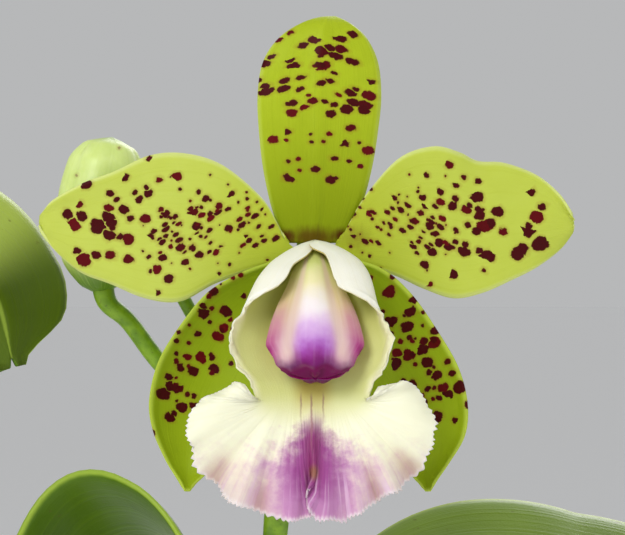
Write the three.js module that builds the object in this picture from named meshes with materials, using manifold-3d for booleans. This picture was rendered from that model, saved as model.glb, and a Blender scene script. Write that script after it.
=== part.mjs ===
// Potted cattleya orchid: a spotted bloom and two buds over leafy pseudobulbs in a clay pot of bark.
// Millimetres, +Z up. The origin is the centre of the pot's underside, and the bloom faces -Y.
import * as THREE from 'three';
import { mergeVertices } from 'three/addons/utils/BufferGeometryUtils.js';
import Module from 'manifold-3d';

// Driving dimensions of the pot and its filling
const POT_HEIGHT = 108;
const POT_RIM_RADIUS = 63.5;
const POT_FOOT_RADIUS = 44.5;
const POT_WALL = 5;
const POT_FLOOR = 7;
const RIM_BAND = 24;
const POT_SIDES = 40;
const DRAIN_HOLES = 3;
const DRAIN_RADIUS = 5.5;
const DRAIN_CIRCLE = 25;
const BARK_TOP = 90;
const BARK_CHIPS = 27;
const GAP = 0.3;

// Driving dimensions of the plant
const BLOOM = new THREE.Vector3(0, -32, 322);
const TEPAL_THICKNESS = 0.7;
const LIP_THICKNESS = 0.6;
const LEAF_THICKNESS = 1.6;
const LEAF_HALF_WIDTH = 23;
const RHIZOME_RADIUS = 4.6;
const ROOT_RADIUS = 2.2;
const STALK_RADIUS = 2;
const PEDICEL_RADIUS = 1.6;

const wasm = await Module();
wasm.setup();
const group = new THREE.Group();
const point = (x, y, z) => new THREE.Vector3(x, y, z);
const inBloom = (x, y, z) => point(x, y, z).add(BLOOM);
const radians = THREE.MathUtils.degToRad;

// Helpers: smooth values and random draws
function seededRandom(seed) {
  let state = seed;
  return () => {
    state = (state * 1664525 + 1013904223) % 4294967296;
    return state / 4294967296;
  };
}

// A smooth value through [place, value] pairs, flat at its peaks so that it never overshoots
function profile(pairs) {
  const slope = (i) => {
    if (i === 0 || i === pairs.length - 1) return 0;
    const before = (pairs[i][1] - pairs[i - 1][1]) / (pairs[i][0] - pairs[i - 1][0]);
    const after = (pairs[i + 1][1] - pairs[i][1]) / (pairs[i + 1][0] - pairs[i][0]);
    return before * after <= 0 ? 0 : (2 * before * after) / (before + after);
  };
  return (place) => {
    let i = 0;
    while (i < pairs.length - 2 && place > pairs[i + 1][0]) i += 1;
    const span = pairs[i + 1][0] - pairs[i][0];
    const k = THREE.MathUtils.clamp((place - pairs[i][0]) / span, 0, 1);
    const start = pairs[i][1];
    const end = pairs[i + 1][1];
    const blend = k * k * (3 - 2 * k);
    const bend = k * (1 - k) * ((1 - k) * slope(i) - k * slope(i + 1)) * span;
    return start + (end - start) * blend + bend;
  };
}

// A smooth line through [x, z] points, evenly spread over 0..1
function outline(points) {
  const places = points.map(([x, z]) => point(x, 0, z));
  const curve = new THREE.CatmullRomCurve3(places, false, 'catmullrom', 0.5);
  return (place) => curve.getPoint(THREE.MathUtils.clamp(place, 0, 1));
}

// Helpers: closed meshes
function facingOut(geometry) {
  const at = geometry.getAttribute('position');
  const index = geometry.getIndex().array;
  const corner = (i) => new THREE.Vector3().fromBufferAttribute(at, index[i]);
  let volume = 0;
  for (let i = 0; i < index.length; i += 3) {
    volume += corner(i).dot(corner(i + 1).cross(corner(i + 2)));
  }
  if (volume < 0) {
    for (let i = 0; i < index.length; i += 3) {
      [index[i], index[i + 1]] = [index[i + 1], index[i]];
    }
  }
  return geometry;
}

function fromCorners(corners, triangles) {
  const geometry = new THREE.BufferGeometry();
  geometry.setFromPoints(corners);
  geometry.setIndex(triangles);
  return facingOut(geometry);
}

// A thin sheet on both sides of surface(u, v), u in 0..1 and v in -1..1, split alike on both faces
function blade(surface, rows, columns, thickness) {
  const step = 0.002;
  const corners = [];
  const wide = columns + 1;
  const size = (rows + 1) * wide;
  for (const side of [1, -1]) {
    for (let i = 0; i <= rows; i += 1) {
      for (let j = 0; j <= columns; j += 1) {
        const u = i / rows;
        const v = (2 * j) / columns - 1;
        const alongU = surface(Math.min(u + step, 1), v).sub(surface(Math.max(u - step, 0), v));
        const alongV = surface(u, Math.min(v + step, 1)).sub(surface(u, Math.max(v - step, -1)));
        const normal = alongU.cross(alongV).normalize();
        corners.push(surface(u, v).addScaledVector(normal, (side * thickness) / 2));
      }
    }
  }
  const triangles = [];
  const quad = (a, b, c, d) => triangles.push(a, b, c, a, c, d);
  for (let i = 0; i < rows; i += 1) {
    for (let j = 0; j < columns; j += 1) {
      const a = i * wide + j;
      quad(a, a + wide, a + wide + 1, a + 1);
      triangles.push(size + a, size + a + wide + 1, size + a + wide);
      triangles.push(size + a, size + a + 1, size + a + wide + 1);
    }
  }
  const border = [];
  for (let j = 0; j < columns; j += 1) border.push(j);
  for (let i = 0; i < rows; i += 1) border.push(i * wide + columns);
  for (let j = columns; j > 0; j -= 1) border.push(rows * wide + j);
  for (let i = rows; i > 0; i -= 1) border.push(i * wide);
  border.forEach((a, k) => {
    const b = border[(k + 1) % border.length];
    quad(a, b, size + b, size + a);
  });
  return fromCorners(corners, triangles);
}

// A closed skin over rings of equal count, with a fan over each end
function loft(rings) {
  const count = rings[0].length;
  const corners = rings.flat();
  const triangles = [];
  for (let i = 0; i < rings.length - 1; i += 1) {
    for (let j = 0; j < count; j += 1) {
      const a = i * count + j;
      const b = i * count + ((j + 1) % count);
      triangles.push(a, b, b + count, a, b + count, a + count);
    }
  }
  for (const [ring, start, turned] of [
    [rings[0], 0, false],
    [rings[rings.length - 1], (rings.length - 1) * count, true],
  ]) {
    const middle = new THREE.Vector3();
    ring.forEach((corner) => middle.addScaledVector(corner, 1 / count));
    const centre = corners.push(middle) - 1;
    for (let j = 0; j < count; j += 1) {
      const a = start + j;
      const b = start + ((j + 1) % count);
      triangles.push(...(turned ? [a, b, centre] : [b, a, centre]));
    }
  }
  return fromCorners(corners, triangles);
}

// Rings round a curve; radius(place, angle) in mm. The first ring's zero angle lies towards +X.
function ringsAlong(points, radius, steps, sides) {
  const curve = new THREE.CatmullRomCurve3(points);
  const rings = [];
  let across = point(1, 0, 0);
  for (let i = 0; i <= steps; i += 1) {
    const place = i / steps;
    const centre = curve.getPointAt(place);
    const tangent = curve.getTangentAt(place);
    across = across.clone().addScaledVector(tangent, -across.dot(tangent)).normalize();
    const other = tangent.clone().cross(across);
    const ring = [];
    for (let j = 0; j < sides; j += 1) {
      const angle = (2 * Math.PI * j) / sides;
      const reach = radius(place, angle);
      const corner = centre.clone().addScaledVector(across, reach * Math.cos(angle));
      ring.push(corner.addScaledVector(other, reach * Math.sin(angle)));
    }
    rings.push(ring);
  }
  return rings;
}

const stem = (points, radius, steps, sides) => loft(ringsAlong(points, radius, steps, sides));

function turned(points, sides) {
  const geometry = new THREE.LatheGeometry(points.map(([r, z]) => new THREE.Vector2(r, z)), sides);
  return facingOut(geometry.rotateX(Math.PI / 2));
}

// Helpers: joins and cuts
function toSolid(source) {
  const geometry = source.clone();
  geometry.deleteAttribute('normal');
  geometry.deleteAttribute('uv');
  const merged = mergeVertices(geometry, 1e-4);
  const index = merged.getIndex().array;
  const triVerts = [];
  for (let i = 0; i < index.length; i += 3) {
    const [a, b, c] = [index[i], index[i + 1], index[i + 2]];
    if (a !== b && b !== c && c !== a) triVerts.push(a, b, c);
  }
  return new wasm.Manifold(new wasm.Mesh({
    numProp: 3,
    vertProperties: new Float32Array(merged.getAttribute('position').array),
    triVerts: new Uint32Array(triVerts),
  }));
}

const join = (solids) => solids.reduce((whole, next) => whole.add(next));

// The largest body of a cut solid; loose scraps are dropped
function fromSolid(solid) {
  const bodies = solid.decompose();
  bodies.sort((a, b) => b.volume() - a.volume());
  const mesh = bodies[0].getMesh();
  const geometry = new THREE.BufferGeometry();
  geometry.setAttribute('position', new THREE.Float32BufferAttribute(mesh.vertProperties, 3));
  geometry.setIndex(Array.from(mesh.triVerts));
  return geometry;
}

function add(name, geometry, color, roughness) {
  const material = new THREE.MeshStandardMaterial({ color, roughness, metalness: 0 });
  const mesh = new THREE.Mesh(geometry, material);
  mesh.name = name;
  group.add(mesh);
}

// The clay pot: a turned wall with a thick rim band and three drain holes round a solid centre
const bandFoot = POT_HEIGHT - RIM_BAND;
const innerTop = POT_RIM_RADIUS - POT_WALL;
const innerFoot = POT_FOOT_RADIUS - POT_WALL;

function pot() {
  const wall = toSolid(turned([
    [0, 0],
    [POT_FOOT_RADIUS - 1.5, 0],
    [POT_FOOT_RADIUS, 1.5],
    [POT_RIM_RADIUS - 6, bandFoot],
    [POT_RIM_RADIUS - 2, bandFoot + 1],
    [POT_RIM_RADIUS, POT_HEIGHT - 2],
    [POT_RIM_RADIUS - 1, POT_HEIGHT],
    [innerTop + 1, POT_HEIGHT],
    [innerTop, POT_HEIGHT - 1.5],
    [innerFoot + 1.5, POT_FLOOR + 1.5],
    [innerFoot, POT_FLOOR],
    [0, POT_FLOOR],
  ], POT_SIDES));
  const drains = [];
  for (let i = 0; i < DRAIN_HOLES; i += 1) {
    const angle = Math.PI / 2 + (2 * Math.PI * i) / DRAIN_HOLES;
    const drain = new THREE.CylinderGeometry(DRAIN_RADIUS, DRAIN_RADIUS, 4 * POT_FLOOR, 12);
    drain.rotateX(Math.PI / 2);
    drain.translate(DRAIN_CIRCLE * Math.cos(angle), DRAIN_CIRCLE * Math.sin(angle), POT_FLOOR / 2);
    drains.push(toSolid(drain));
  }
  return fromSolid(wall.subtract(join(drains)));
}

// The rhizome creeps over the bark, with one fork, and its roots run into the bark and over the rim
const RHIZOME = [
  [point(42, 30, 94), point(30, 22, 95), point(8, 12, 96), point(-6, -3, 96), point(-8, -24, 97)],
  [point(6, 12, 96), point(-14, 13, 96), point(-34, 6, 96)],
];
const OVER_RIM = POT_HEIGHT + ROOT_RADIUS + 0.6;
const OUTSIDE = POT_RIM_RADIUS + ROOT_RADIUS + 0.8;
const around = (degrees, radius, z) => point(
  radius * Math.cos(radians(degrees)),
  radius * Math.sin(radians(degrees)),
  z,
);
const ROOTS = [
  [point(-8, -20, 96), around(232, 42, 98), around(229, 57, OVER_RIM - 1), around(228, 64, OVER_RIM),
    around(227, OUTSIDE + 1, POT_HEIGHT - 8), around(225, OUTSIDE, 78), around(221, OUTSIDE - 3, 58)],
  [point(30, 21, 96), around(14, 44, 98), around(10, 57, OVER_RIM - 1), around(9, 64, OVER_RIM),
    around(7, OUTSIDE + 1, POT_HEIGHT - 8), around(5, OUTSIDE, 84), around(8, OUTSIDE - 1, 70)],
  [point(-4, -10, 97), point(12, -20, 99), point(26, -30, 98), point(34, -27, 80)],
  [point(8, 10, 96), point(24, -4, 99), point(37, -8, 98), point(42, -12, 80)],
  [point(-28, 7, 97), point(-33, -10, 99), point(-38, -18, 97), point(-39, -20, 79)],
  [point(-12, 13, 96), point(-14, 30, 99), point(-20, 38, 98), point(-27, 36, 79)],
  [point(20, 18, 96), point(12, 33, 99), point(14, 42, 97), point(13, 43, 79)],
  [point(-8, -22, 97), point(3, -34, 99), point(3, -42, 97), point(-3, -43, 79)],
];

function rhizomeAndRoots(extra) {
  const stout = (place) => RHIZOME_RADIUS * (0.86 + 0.14 * Math.cos(place * 24)) + extra;
  const slim = (place) => ROOT_RADIUS * (place > 0.9 ? 1 - 4 * (place - 0.9) : 1) + extra;
  const runners = RHIZOME.map((points) => toSolid(stem(points, stout, 12, 8)));
  const roots = ROOTS.map((points) => toSolid(stem(points, slim, 3 * points.length - 4, 6)));
  return join([...runners, ...roots]);
}

// Pseudobulbs: swollen jointed canes, with steps where their papery wraps end
const BULBS = {
  oldest: { points: [point(32, 23, 95), point(42, 28, 136), point(60, 32, 182)], thick: 8.5 },
  back: { points: [point(10, 14, 95), point(13, 28, 150), point(22, 40, 205)], thick: 9 },
  left: { points: [point(-32, 7, 95), point(-50, 8, 160), point(-80, 8, 222)], thick: 9 },
  leading: { points: [point(-6, -6, 95), point(-4, -8, 165), point(-8, -9, 234)], thick: 9.5 },
};
const bulbRadius = profile([
  [0, 0.55], [0.08, 0.7], [0.2, 0.82], [0.22, 0.78], [0.42, 1], [0.45, 0.95],
  [0.62, 1], [0.66, 0.93], [0.84, 0.8], [0.87, 0.76], [0.97, 0.68], [1, 0.6],
]);

function bulb({ points, thick }, extra) {
  const radius = (place, angle) => {
    const flatter = 1 - 0.12 * Math.sin(angle) ** 2;
    return thick * bulbRadius(place) * flatter + extra;
  };
  return toSolid(stem(points, radius, 16, 10));
}

// A young shoot at the leading end, still wrapped to a point
function youngShoot(extra) {
  const points = [point(-9, -27, 95), point(-13, -34, 118), point(-15, -37, 150)];
  const width = profile([[0, 0.8], [0.2, 1], [0.55, 0.82], [0.85, 0.4], [1, 0.08]]);
  const radius = (place, angle) => 5.4 * width(place) * (1 - 0.3 * Math.sin(angle) ** 2) + extra;
  return toSolid(stem(points, radius, 10, 9));
}

// The bark: a core that fills the pot, with chips sunk in its top and plain holes for what stands in it
function barkMedium() {
  const random = seededRandom(11);
  const core = toSolid(turned([
    [0, POT_FLOOR + GAP],
    [innerFoot - GAP - 0.5, POT_FLOOR + GAP],
    [innerTop, BARK_TOP - 2],
    [0, BARK_TOP],
  ], POT_SIDES));
  const chips = [core];
  for (let i = 0; i < BARK_CHIPS; i += 1) {
    const chip = new THREE.BoxGeometry(11 + 8 * random(), 7 + 5 * random(), 4.5 + 3 * random());
    chip.rotateX(0.5 * random() - 0.25);
    chip.rotateY(0.6 * random() - 0.3);
    chip.rotateZ(Math.PI * random());
    const reach = 54 * Math.sqrt((i + 0.5) / BARK_CHIPS);
    const angle = i * radians(137.5);
    chip.translate(reach * Math.cos(angle), reach * Math.sin(angle), BARK_TOP - 0.5 + 2.4 * random());
    chips.push(toSolid(chip));
  }
  const clearInside = toSolid(turned([
    [0, POT_FLOOR + GAP],
    [innerFoot - GAP, POT_FLOOR + GAP],
    [innerFoot + 1.5 - GAP, POT_FLOOR + 1.5 + GAP],
    [innerTop - GAP, POT_HEIGHT - 1.5],
    [0, POT_HEIGHT - 1.5],
  ], POT_SIDES));
  const standing = [rhizomeAndRoots(GAP), youngShoot(GAP)];
  Object.values(BULBS).forEach((shape) => standing.push(bulb(shape, GAP)));
  return fromSolid(join(chips).intersect(clearInside).subtract(join(standing)));
}

// Leaves: leathery blades on an arched midrib, each seated in the top of its cane. The face turns
// from base to tip, and each half drops from the midrib by the fold in degrees, or rises where it
// is below zero.
const leafWidth = profile([
  [0, 0.2], [0.1, 0.32], [0.38, 0.95], [0.6, 1], [0.85, 0.82], [0.95, 0.55], [1, 0.12],
]);
const LEAVES = {
  leading_left: {
    cane: 'leading',
    points: [
      point(-12.4, -8.5, 230.5), point(-14.6, -2, 256), point(-23, 10, 271),
      point(-44, 23, 264), point(-72, 36, 245), point(-98, 46, 220),
    ],
    faces: [point(0.97, -0.2, 0), point(-0.1, -0.35, 0.9)],
    folds: [-14, -8],
  },
  leading_right: {
    cane: 'leading',
    points: [
      point(-3.6, -8.5, 230.5), point(0.2, -1, 254), point(16, 13, 265),
      point(48, 22, 262), point(80, 28, 249), point(106, 32, 232),
    ],
    faces: [point(-0.97, -0.2, 0), point(0.1, -0.35, 1)],
    folds: [-14, -12],
  },
  left_inner: {
    cane: 'left',
    points: [
      point(-74.2, 8, 220.5), point(-80, 5, 262), point(-86, -1, 300), point(-78, -6, 320),
      point(-64, -7.5, 323), point(-53, -8.5, 315), point(-49, -9, 302),
    ],
    faces: [point(-0.95, -0.2, -0.1), point(0.1, -0.8, 0.62)],
    folds: [-8, 30],
  },
  left_outer: {
    cane: 'left',
    points: [point(-82.2, 8, 216.5), point(-101, 4, 248), point(-128, -8, 266), point(-156, -20, 256)],
    faces: [point(0.9, 0, 0.4), point(0, -0.1, 1)],
    folds: [-14, -14],
  },
  back_right: {
    cane: 'back',
    points: [point(25.4, 39.4, 201.5), point(42, 56, 239), point(74, 71, 258), point(108, 79, 244)],
    faces: [point(-0.95, 0, 0.3), point(0, -0.2, 1)],
    folds: [-12, -12],
  },
  back_left: {
    cane: 'back',
    points: [point(17.2, 39.4, 202), point(4, 60, 238), point(-20, 84, 254), point(-46, 104, 246)],
    faces: [point(0.95, 0, 0.2), point(0, -0.4, 1)],
    folds: [-12, -12],
  },
  oldest: {
    cane: 'oldest',
    points: [point(58.6, 31.8, 178), point(82, 36, 212), point(112, 36, 220), point(142, 34, 202)],
    faces: [point(-0.8, 0, 0.6), point(0, -0.3, 1)],
    folds: [-14, -14],
  },
};

function leaf({ points, faces, folds }, extra = 0) {
  const curve = new THREE.CatmullRomCurve3(points);
  const surface = (u, v) => {
    const tangent = curve.getTangentAt(u);
    const face = faces[0].clone().lerp(faces[1], u);
    const across = tangent.clone().cross(face).normalize();
    const normal = across.clone().cross(tangent);
    const fold = radians(THREE.MathUtils.lerp(folds[0], folds[1], u));
    const reach = LEAF_HALF_WIDTH * leafWidth(u) + extra;
    const crease = Math.sqrt(v * v + 0.02) - 0.14;
    const ripple = 0.9 * u * v * v * Math.sin(11 * u + 2 * v);
    const place = curve.getPointAt(u).addScaledVector(across, reach * v * Math.cos(fold));
    place.addScaledVector(normal, ripple - reach * crease * Math.sin(fold));
    return place.addScaledVector(tangent, u === 0 ? -extra : 0);
  };
  return blade(surface, 12, 6, LEAF_THICKNESS + 2 * extra);
}

// The floral sheath: a folded blade round the foot of the stalk, open towards the front
const SHEATH_FOOT = 234.9;

function floralSheath() {
  const width = profile([[0, 2.7], [0.3, 3.2], [0.75, 3.4], [1, 1]]);
  const surface = (u, v) => {
    const angle = Math.PI / 2 + v * radians(120 - 40 * u);
    const reach = width(u);
    const up = SHEATH_FOOT + 34 * u;
    return point(-8 + reach * Math.cos(angle), -8.5 - 4 * u + reach * Math.sin(angle), up);
  };
  return blade(surface, 7, 8, 0.8);
}

// The flower stalk with the pedicels of the bloom and of both buds, and a bract at each fork
const FORK = inBloom(-5, 9, -35);
const PEDICELS = {
  bloom: [
    FORK, inBloom(-4.5, 13.5, -22), inBloom(-2.6, 15.5, -9), inBloom(-0.4, 11, -1.6),
    inBloom(0, 3.5, -0.3),
  ],
  large_bud: [
    FORK, inBloom(-13, 12, -29), inBloom(-24.2, 12.6, -19.4), inBloom(-30, 13, -12),
    inBloom(-33.2, 13.1, -9.1),
  ],
  small_bud: [FORK, inBloom(-10.5, 13, -26), inBloom(-17, 14.5, -15.5), inBloom(-22.5, 15.2, -5.4)],
};

const STALK_COURSE = [
  point(-8, -9, 230), point(-7.6, -11, 256), inBloom(-5.8, 10.5, -44), inBloom(-5, 9, -33.5),
];

function flowerStalk() {
  const ovary = profile([[0, 1], [0.5, 1.05], [0.75, 1.5], [0.93, 1.3], [1, 1.7]]);
  const plain = profile([[0, 1], [0.8, 0.92], [1, 1.15]]);
  const bract = (place, reach) => {
    const surface = (u, v) => {
      const angle = radians(200) + v * radians(70 - 30 * u);
      const radius = STALK_RADIUS + 0.1 + 1.1 * u;
      const out = point(radius * Math.cos(angle), radius * Math.sin(angle), reach * u);
      return out.add(place);
    };
    return toSolid(blade(surface, 3, 4, 0.7));
  };
  return fromSolid(join([
    toSolid(stem(STALK_COURSE, () => STALK_RADIUS, 7, 8)),
    toSolid(stem(PEDICELS.bloom, (s) => PEDICEL_RADIUS * ovary(s), 12, 8)),
    toSolid(stem(PEDICELS.large_bud, (s) => PEDICEL_RADIUS * plain(s), 6, 7)),
    toSolid(stem(PEDICELS.small_bud, (s) => 0.8 * PEDICEL_RADIUS * plain(s), 6, 6)),
    bract(FORK.clone().add(point(0.2, 0, -4)), 6),
    bract(inBloom(-5.7, 10, -41.5), 5),
  ]));
}

// Buds: closed sepals, with three shallow seams
const budRadius = profile([
  [0, 0.2], [0.06, 0.5], [0.25, 0.9], [0.55, 1], [0.8, 0.92], [0.94, 0.62], [1, 0.15],
]);
const BUDS = {
  large: {
    points: [inBloom(-34, 13.2, -7.8), inBloom(-34.6, 13.4, 4), inBloom(-32.4, 14, 17.5)],
    thick: 7.1,
  },
  small: {
    points: [inBloom(-23, 15.4, -4.2), inBloom(-24.6, 15.8, 2), inBloom(-25.4, 16, 8.6)],
    thick: 3.1,
  },
};

function bud({ points, thick }) {
  const radius = (place, angle) => thick * budRadius(place) * (1 - 0.05 * Math.cos(3 * angle) ** 4);
  return stem(points, radius, 12, 12);
}

// Tepals: stations from base to tip, each with one point on either margin, as [x, z, x, z] from
// the bloom's centre; depth(u, v) is how far the surface lies behind the centre.
const TEPALS = {
  dorsal_sepal: {
    stations: [
      [-1.6, 0.3, 2.5, 0.3], [-4.6, 3.2, 5.7, 3.2], [-6.8, 7.1, 8.1, 7.1], [-7.9, 12.6, 9.5, 12.6],
      [-8.5, 18.2, 10.4, 18.2], [-8.7, 23.7, 10.9, 23.7], [-7.9, 28.9, 10.4, 28.9],
      [-5.5, 32.7, 8.7, 32.7], [-2.1, 35.1, 6.2, 35.1], [1.1, 36.1, 3.9, 36.2], [2.3, 36.4, 3.2, 36.4],
    ],
    depth: (u, v) => 2.6 - 1.2 * Math.sin(Math.PI * u) + 6 * u ** 4 + 1.3 * v * v * Math.sin(Math.PI * u),
  },
  petal_left: {
    stations: [
      [-4.3, 0.6, -1.7, -1.4], [-5.6, 3.5, -5.2, -3], [-8.2, 7.6, -9, -3.8], [-14.2, 12.6, -15.5, -6.2],
      [-20.2, 14.5, -21, -9], [-25.8, 14.2, -26.5, -8.5], [-31.3, 11.7, -32.1, -6.2],
      [-36.8, 9.6, -36.8, -4.4], [-41.2, 7.1, -40.8, -1.1], [-43, 5.2, -42.7, 1.4], [-43.5, 4.1, -43.5, 3],
    ],
    depth: (u, v) => 1.4 + 3.4 * u * u + 1.3 * v * v * u * Math.sin(9 * u + 1.5 * v),
  },
  petal_right: {
    stations: [
      [4.4, 0.6, 1.7, -1.4], [5.9, 3.6, 5.2, -2.7], [8.6, 8.1, 9, -3.5], [13.7, 13.7, 13.6, -5.1],
      [19.1, 15.6, 17.7, -7], [23.2, 14.7, 22.4, -8.5], [26.2, 13.3, 27, -7.6], [30.5, 13, 31.4, -5.7],
      [35.6, 11.1, 35.6, -3.6], [39, 8.2, 39.3, -0.8], [40.9, 5.4, 41.1, 1.6], [41.6, 4, 41.6, 3],
    ],
    depth: (u, v) => 1.4 + 3 * u * u + 1.5 * v * v * u * Math.sin(11 * u - 1.2 * v),
  },
  lateral_sepal_left: {
    stations: [
      [-1.7, -0.8, -0.3, -2.7], [-6.5, -2.7, -1.8, -7.4], [-11.5, -4.6, -3.6, -12.6],
      [-16.6, -7.7, -5.5, -17.4], [-21, -13.1, -7.4, -22.1], [-24.2, -18.5, -9.3, -25.8],
      [-25.6, -24.5, -11.5, -29.2], [-25, -29.2, -14.1, -32.4], [-22.9, -34, -16.7, -35.9],
      [-20.9, -37.1, -18.5, -37.6], [-20, -38.6, -19.2, -38.6],
    ],
    depth: (u, v) => 0.2 + 2.2 * Math.sin(Math.PI * u) * (1 - 1.5 * v * v) - 5 * u ** 3,
  },
  lateral_sepal_right: {
    stations: [
      [1.7, -0.8, 0.3, -2.7], [6.2, -2.2, 1.8, -7.4], [11.2, -4, 3.6, -12.6], [15.6, -7.9, 5.5, -17.4],
      [19.8, -13.9, 7.4, -22.1], [22.9, -19.4, 9.3, -25.8], [24.3, -25, 11.2, -29.2],
      [23.9, -29.9, 13.3, -32.7], [21.5, -34.1, 15.6, -36.2], [19.4, -37, 16.9, -37.6],
      [18.5, -38.6, 17.7, -38.6],
    ],
    depth: (u, v) => 0.2 + 2.2 * Math.sin(Math.PI * u) * (1 - 1.5 * v * v) - 5 * u ** 3,
  },
};

function tepal({ stations, depth }) {
  const first = outline(stations.map(([x, z]) => [x, z]));
  const second = outline(stations.map(([, , x, z]) => [x, z]));
  const surface = (u, v) => {
    const across = first(u).lerp(second(u), (v + 1) / 2);
    return inBloom(across.x, depth(u, v), across.z);
  };
  return blade(surface, 14, 6, TEPAL_THICKNESS);
}

// The lip: its side lobes wrap the column as an open tube, and below a waist the mid lobe fans out
const LIP_WAIST = 0.55;
const lipCourse = new THREE.CatmullRomCurve3([
  point(0.3, -1.3, -3.2), point(0.3, -4.8, -8.5), point(0.3, -8.6, -14),
  point(0.2, -12.2, -19.2), point(0, -14.3, -24.6),
]);
const lipHalfWidth = profile([
  [0, 5.8], [0.12, 7.4], [0.25, 9], [0.5, 11.1], [0.65, 12.7], [0.76, 12], [0.88, 9.7], [1, 8.9],
]);
const lipBack = profile([[0, 3.9], [0.25, 4.9], [0.55, 5.2], [0.8, 3.6], [1, 2]]);
const lipFront = profile([[0, 2.2], [0.3, 3.8], [0.6, 3.4], [1, 2]]);
const wrapLeft = profile([
  [0, 178], [0.1, 169], [0.19, 155], [0.28, 153], [0.36, 147], [0.41, 129], [0.47, 108],
  [0.56, 95], [0.7, 88], [1, 78],
]);
const wrapRight = profile([
  [0, 180], [0.06, 175], [0.12, 167], [0.25, 163], [0.38, 158], [0.42, 145], [0.46, 126],
  [0.5, 104], [0.58, 93], [0.7, 88], [1, 78],
]);
// Near its foot the tube closes to a dome over the column's foot
const lipClosing = profile([[0, 0.34], [0.06, 0.8], [0.13, 0.97], [0.2, 1], [1, 1]]);
const LIP_FOOT = point(0.3, -1.5, 0.5);
const LIP_MARGIN = [
  [-10.2, -21.8], [-12, -21.3], [-14.6, -23], [-17.5, -24.6], [-19, -28.6], [-18, -32.8],
  [-14.9, -37], [-11.2, -39.5], [-7.4, -41.3], [-3.1, -42.4], [-0.7, -41.2],
  [0.3, -36.3],
  [1.6, -40], [3.9, -42.2], [7.2, -41.4], [10.3, -39.2], [13.6, -37.2], [16.8, -33.4],
  [18.5, -28.9], [17.5, -24.3], [14.6, -21.1], [12.5, -21.6], [10, -22.1],
];
const lipMargin = outline(LIP_MARGIN);
const LIP_COLUMNS = 2 * (LIP_MARGIN.length - 1);

function lipTube(s, v) {
  const tangent = lipCourse.getTangent(s);
  const front = point(0, tangent.z, -tangent.y).normalize();
  const wrap = radians(v < 0 ? wrapLeft(s) : wrapRight(s));
  const angle = v * wrap;
  const spiral = 1 + 0.1 * v * (1 - Math.min(1, s / 0.4));
  const depth = lipBack(s) * (1 - Math.cos(Math.min(Math.abs(angle), Math.PI / 2)))
    + lipFront(s) * Math.max(0, -Math.cos(angle));
  const place = lipCourse.getPoint(s).addScaledVector(front, depth * spiral);
  const narrower = v > 0 ? 1 - 0.09 * Math.sin(Math.PI * s) : 1;
  place.x += lipHalfWidth(s) * Math.sin(angle) * spiral * narrower;
  return LIP_FOOT.clone().lerp(place, lipClosing(s));
}

function lipSurface(u, v) {
  if (u <= LIP_WAIST) return lipTube(u / LIP_WAIST, v).add(BLOOM);
  const r = (u - LIP_WAIST) / (1 - LIP_WAIST);
  const waist = lipTube(1, v);
  const margin = lipMargin((v + 1) / 2);
  const tooth = Math.cos(v * Math.PI * LIP_COLUMNS / 2) * 0.35 * r ** 4;
  const spread = 1 - (1 - r) ** 1.25;
  const down = r ** 0.9;
  const x = THREE.MathUtils.lerp(waist.x, margin.x, spread) * (1 + tooth / 20);
  const z = THREE.MathUtils.lerp(waist.z, margin.z, down) - tooth;
  const edge = -15.6 - 2 * Math.sin(Math.PI * 0.5 * (1 + v)) - (v > 0 && v < 0.2 ? 0.8 : 0);
  const ruffle = 1.5 * r ** 2.2 * Math.sin(26 * v + 0.8) * Math.min(1, Math.abs(v) * 4);
  const y = THREE.MathUtils.lerp(waist.y, edge, r) - 1.6 * Math.sin(Math.PI * r) + ruffle;
  return inBloom(x, y, z);
}

// The column lies in the lip's tube: a broad shield with winged sides and a lobed end
function column() {
  const half = profile([
    [0, 1.3], [0.1, 2.1], [0.3, 3.7], [0.5, 5.7], [0.68, 7], [0.78, 7.5], [0.84, 6.8],
    [0.9, 6.1], [0.96, 5.3], [1, 4.2],
  ]);
  const deep = profile([[0, 1.2], [0.3, 2], [0.6, 2.5], [0.85, 2.7], [1, 1.2]]);
  const course = new THREE.CatmullRomCurve3([
    point(0.2, -3.2, -1.6), point(0.3, -6, -3.5), point(0.4, -9.8, -8.2),
    point(0.5, -14, -14.5), point(0.6, -18, -20.6),
  ]);
  const rings = [];
  const rows = 14;
  const sides = 16;
  for (let i = 0; i <= rows; i += 1) {
    const s = i / rows;
    const tangent = course.getTangentAt(s);
    const front = point(0, tangent.z, -tangent.y).normalize();
    const ring = [];
    for (let j = 0; j < sides; j += 1) {
      const angle = (2 * Math.PI * j) / sides;
      const rise = Math.sign(Math.sin(angle)) * Math.abs(Math.sin(angle)) ** 1.3;
      const depth = deep(s) * rise * (rise < 0 ? 0.6 : 1);
      const corner = course.getPointAt(s).addScaledVector(front, depth);
      corner.x += half(s) * Math.cos(angle);
      ring.push(corner.add(BLOOM));
    }
    rings.push(ring);
  }
  return loft(rings);
}

// The anther cap sits under the column's end
function antherCap() {
  const cap = new THREE.SphereGeometry(1, 12, 8);
  cap.scale(2.6, 1.3, 1.5);
  cap.rotateX(radians(-35));
  const place = inBloom(0.6, -14.6, -20.2);
  return facingOut(cap.translate(place.x, place.y, place.z));
}

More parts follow.
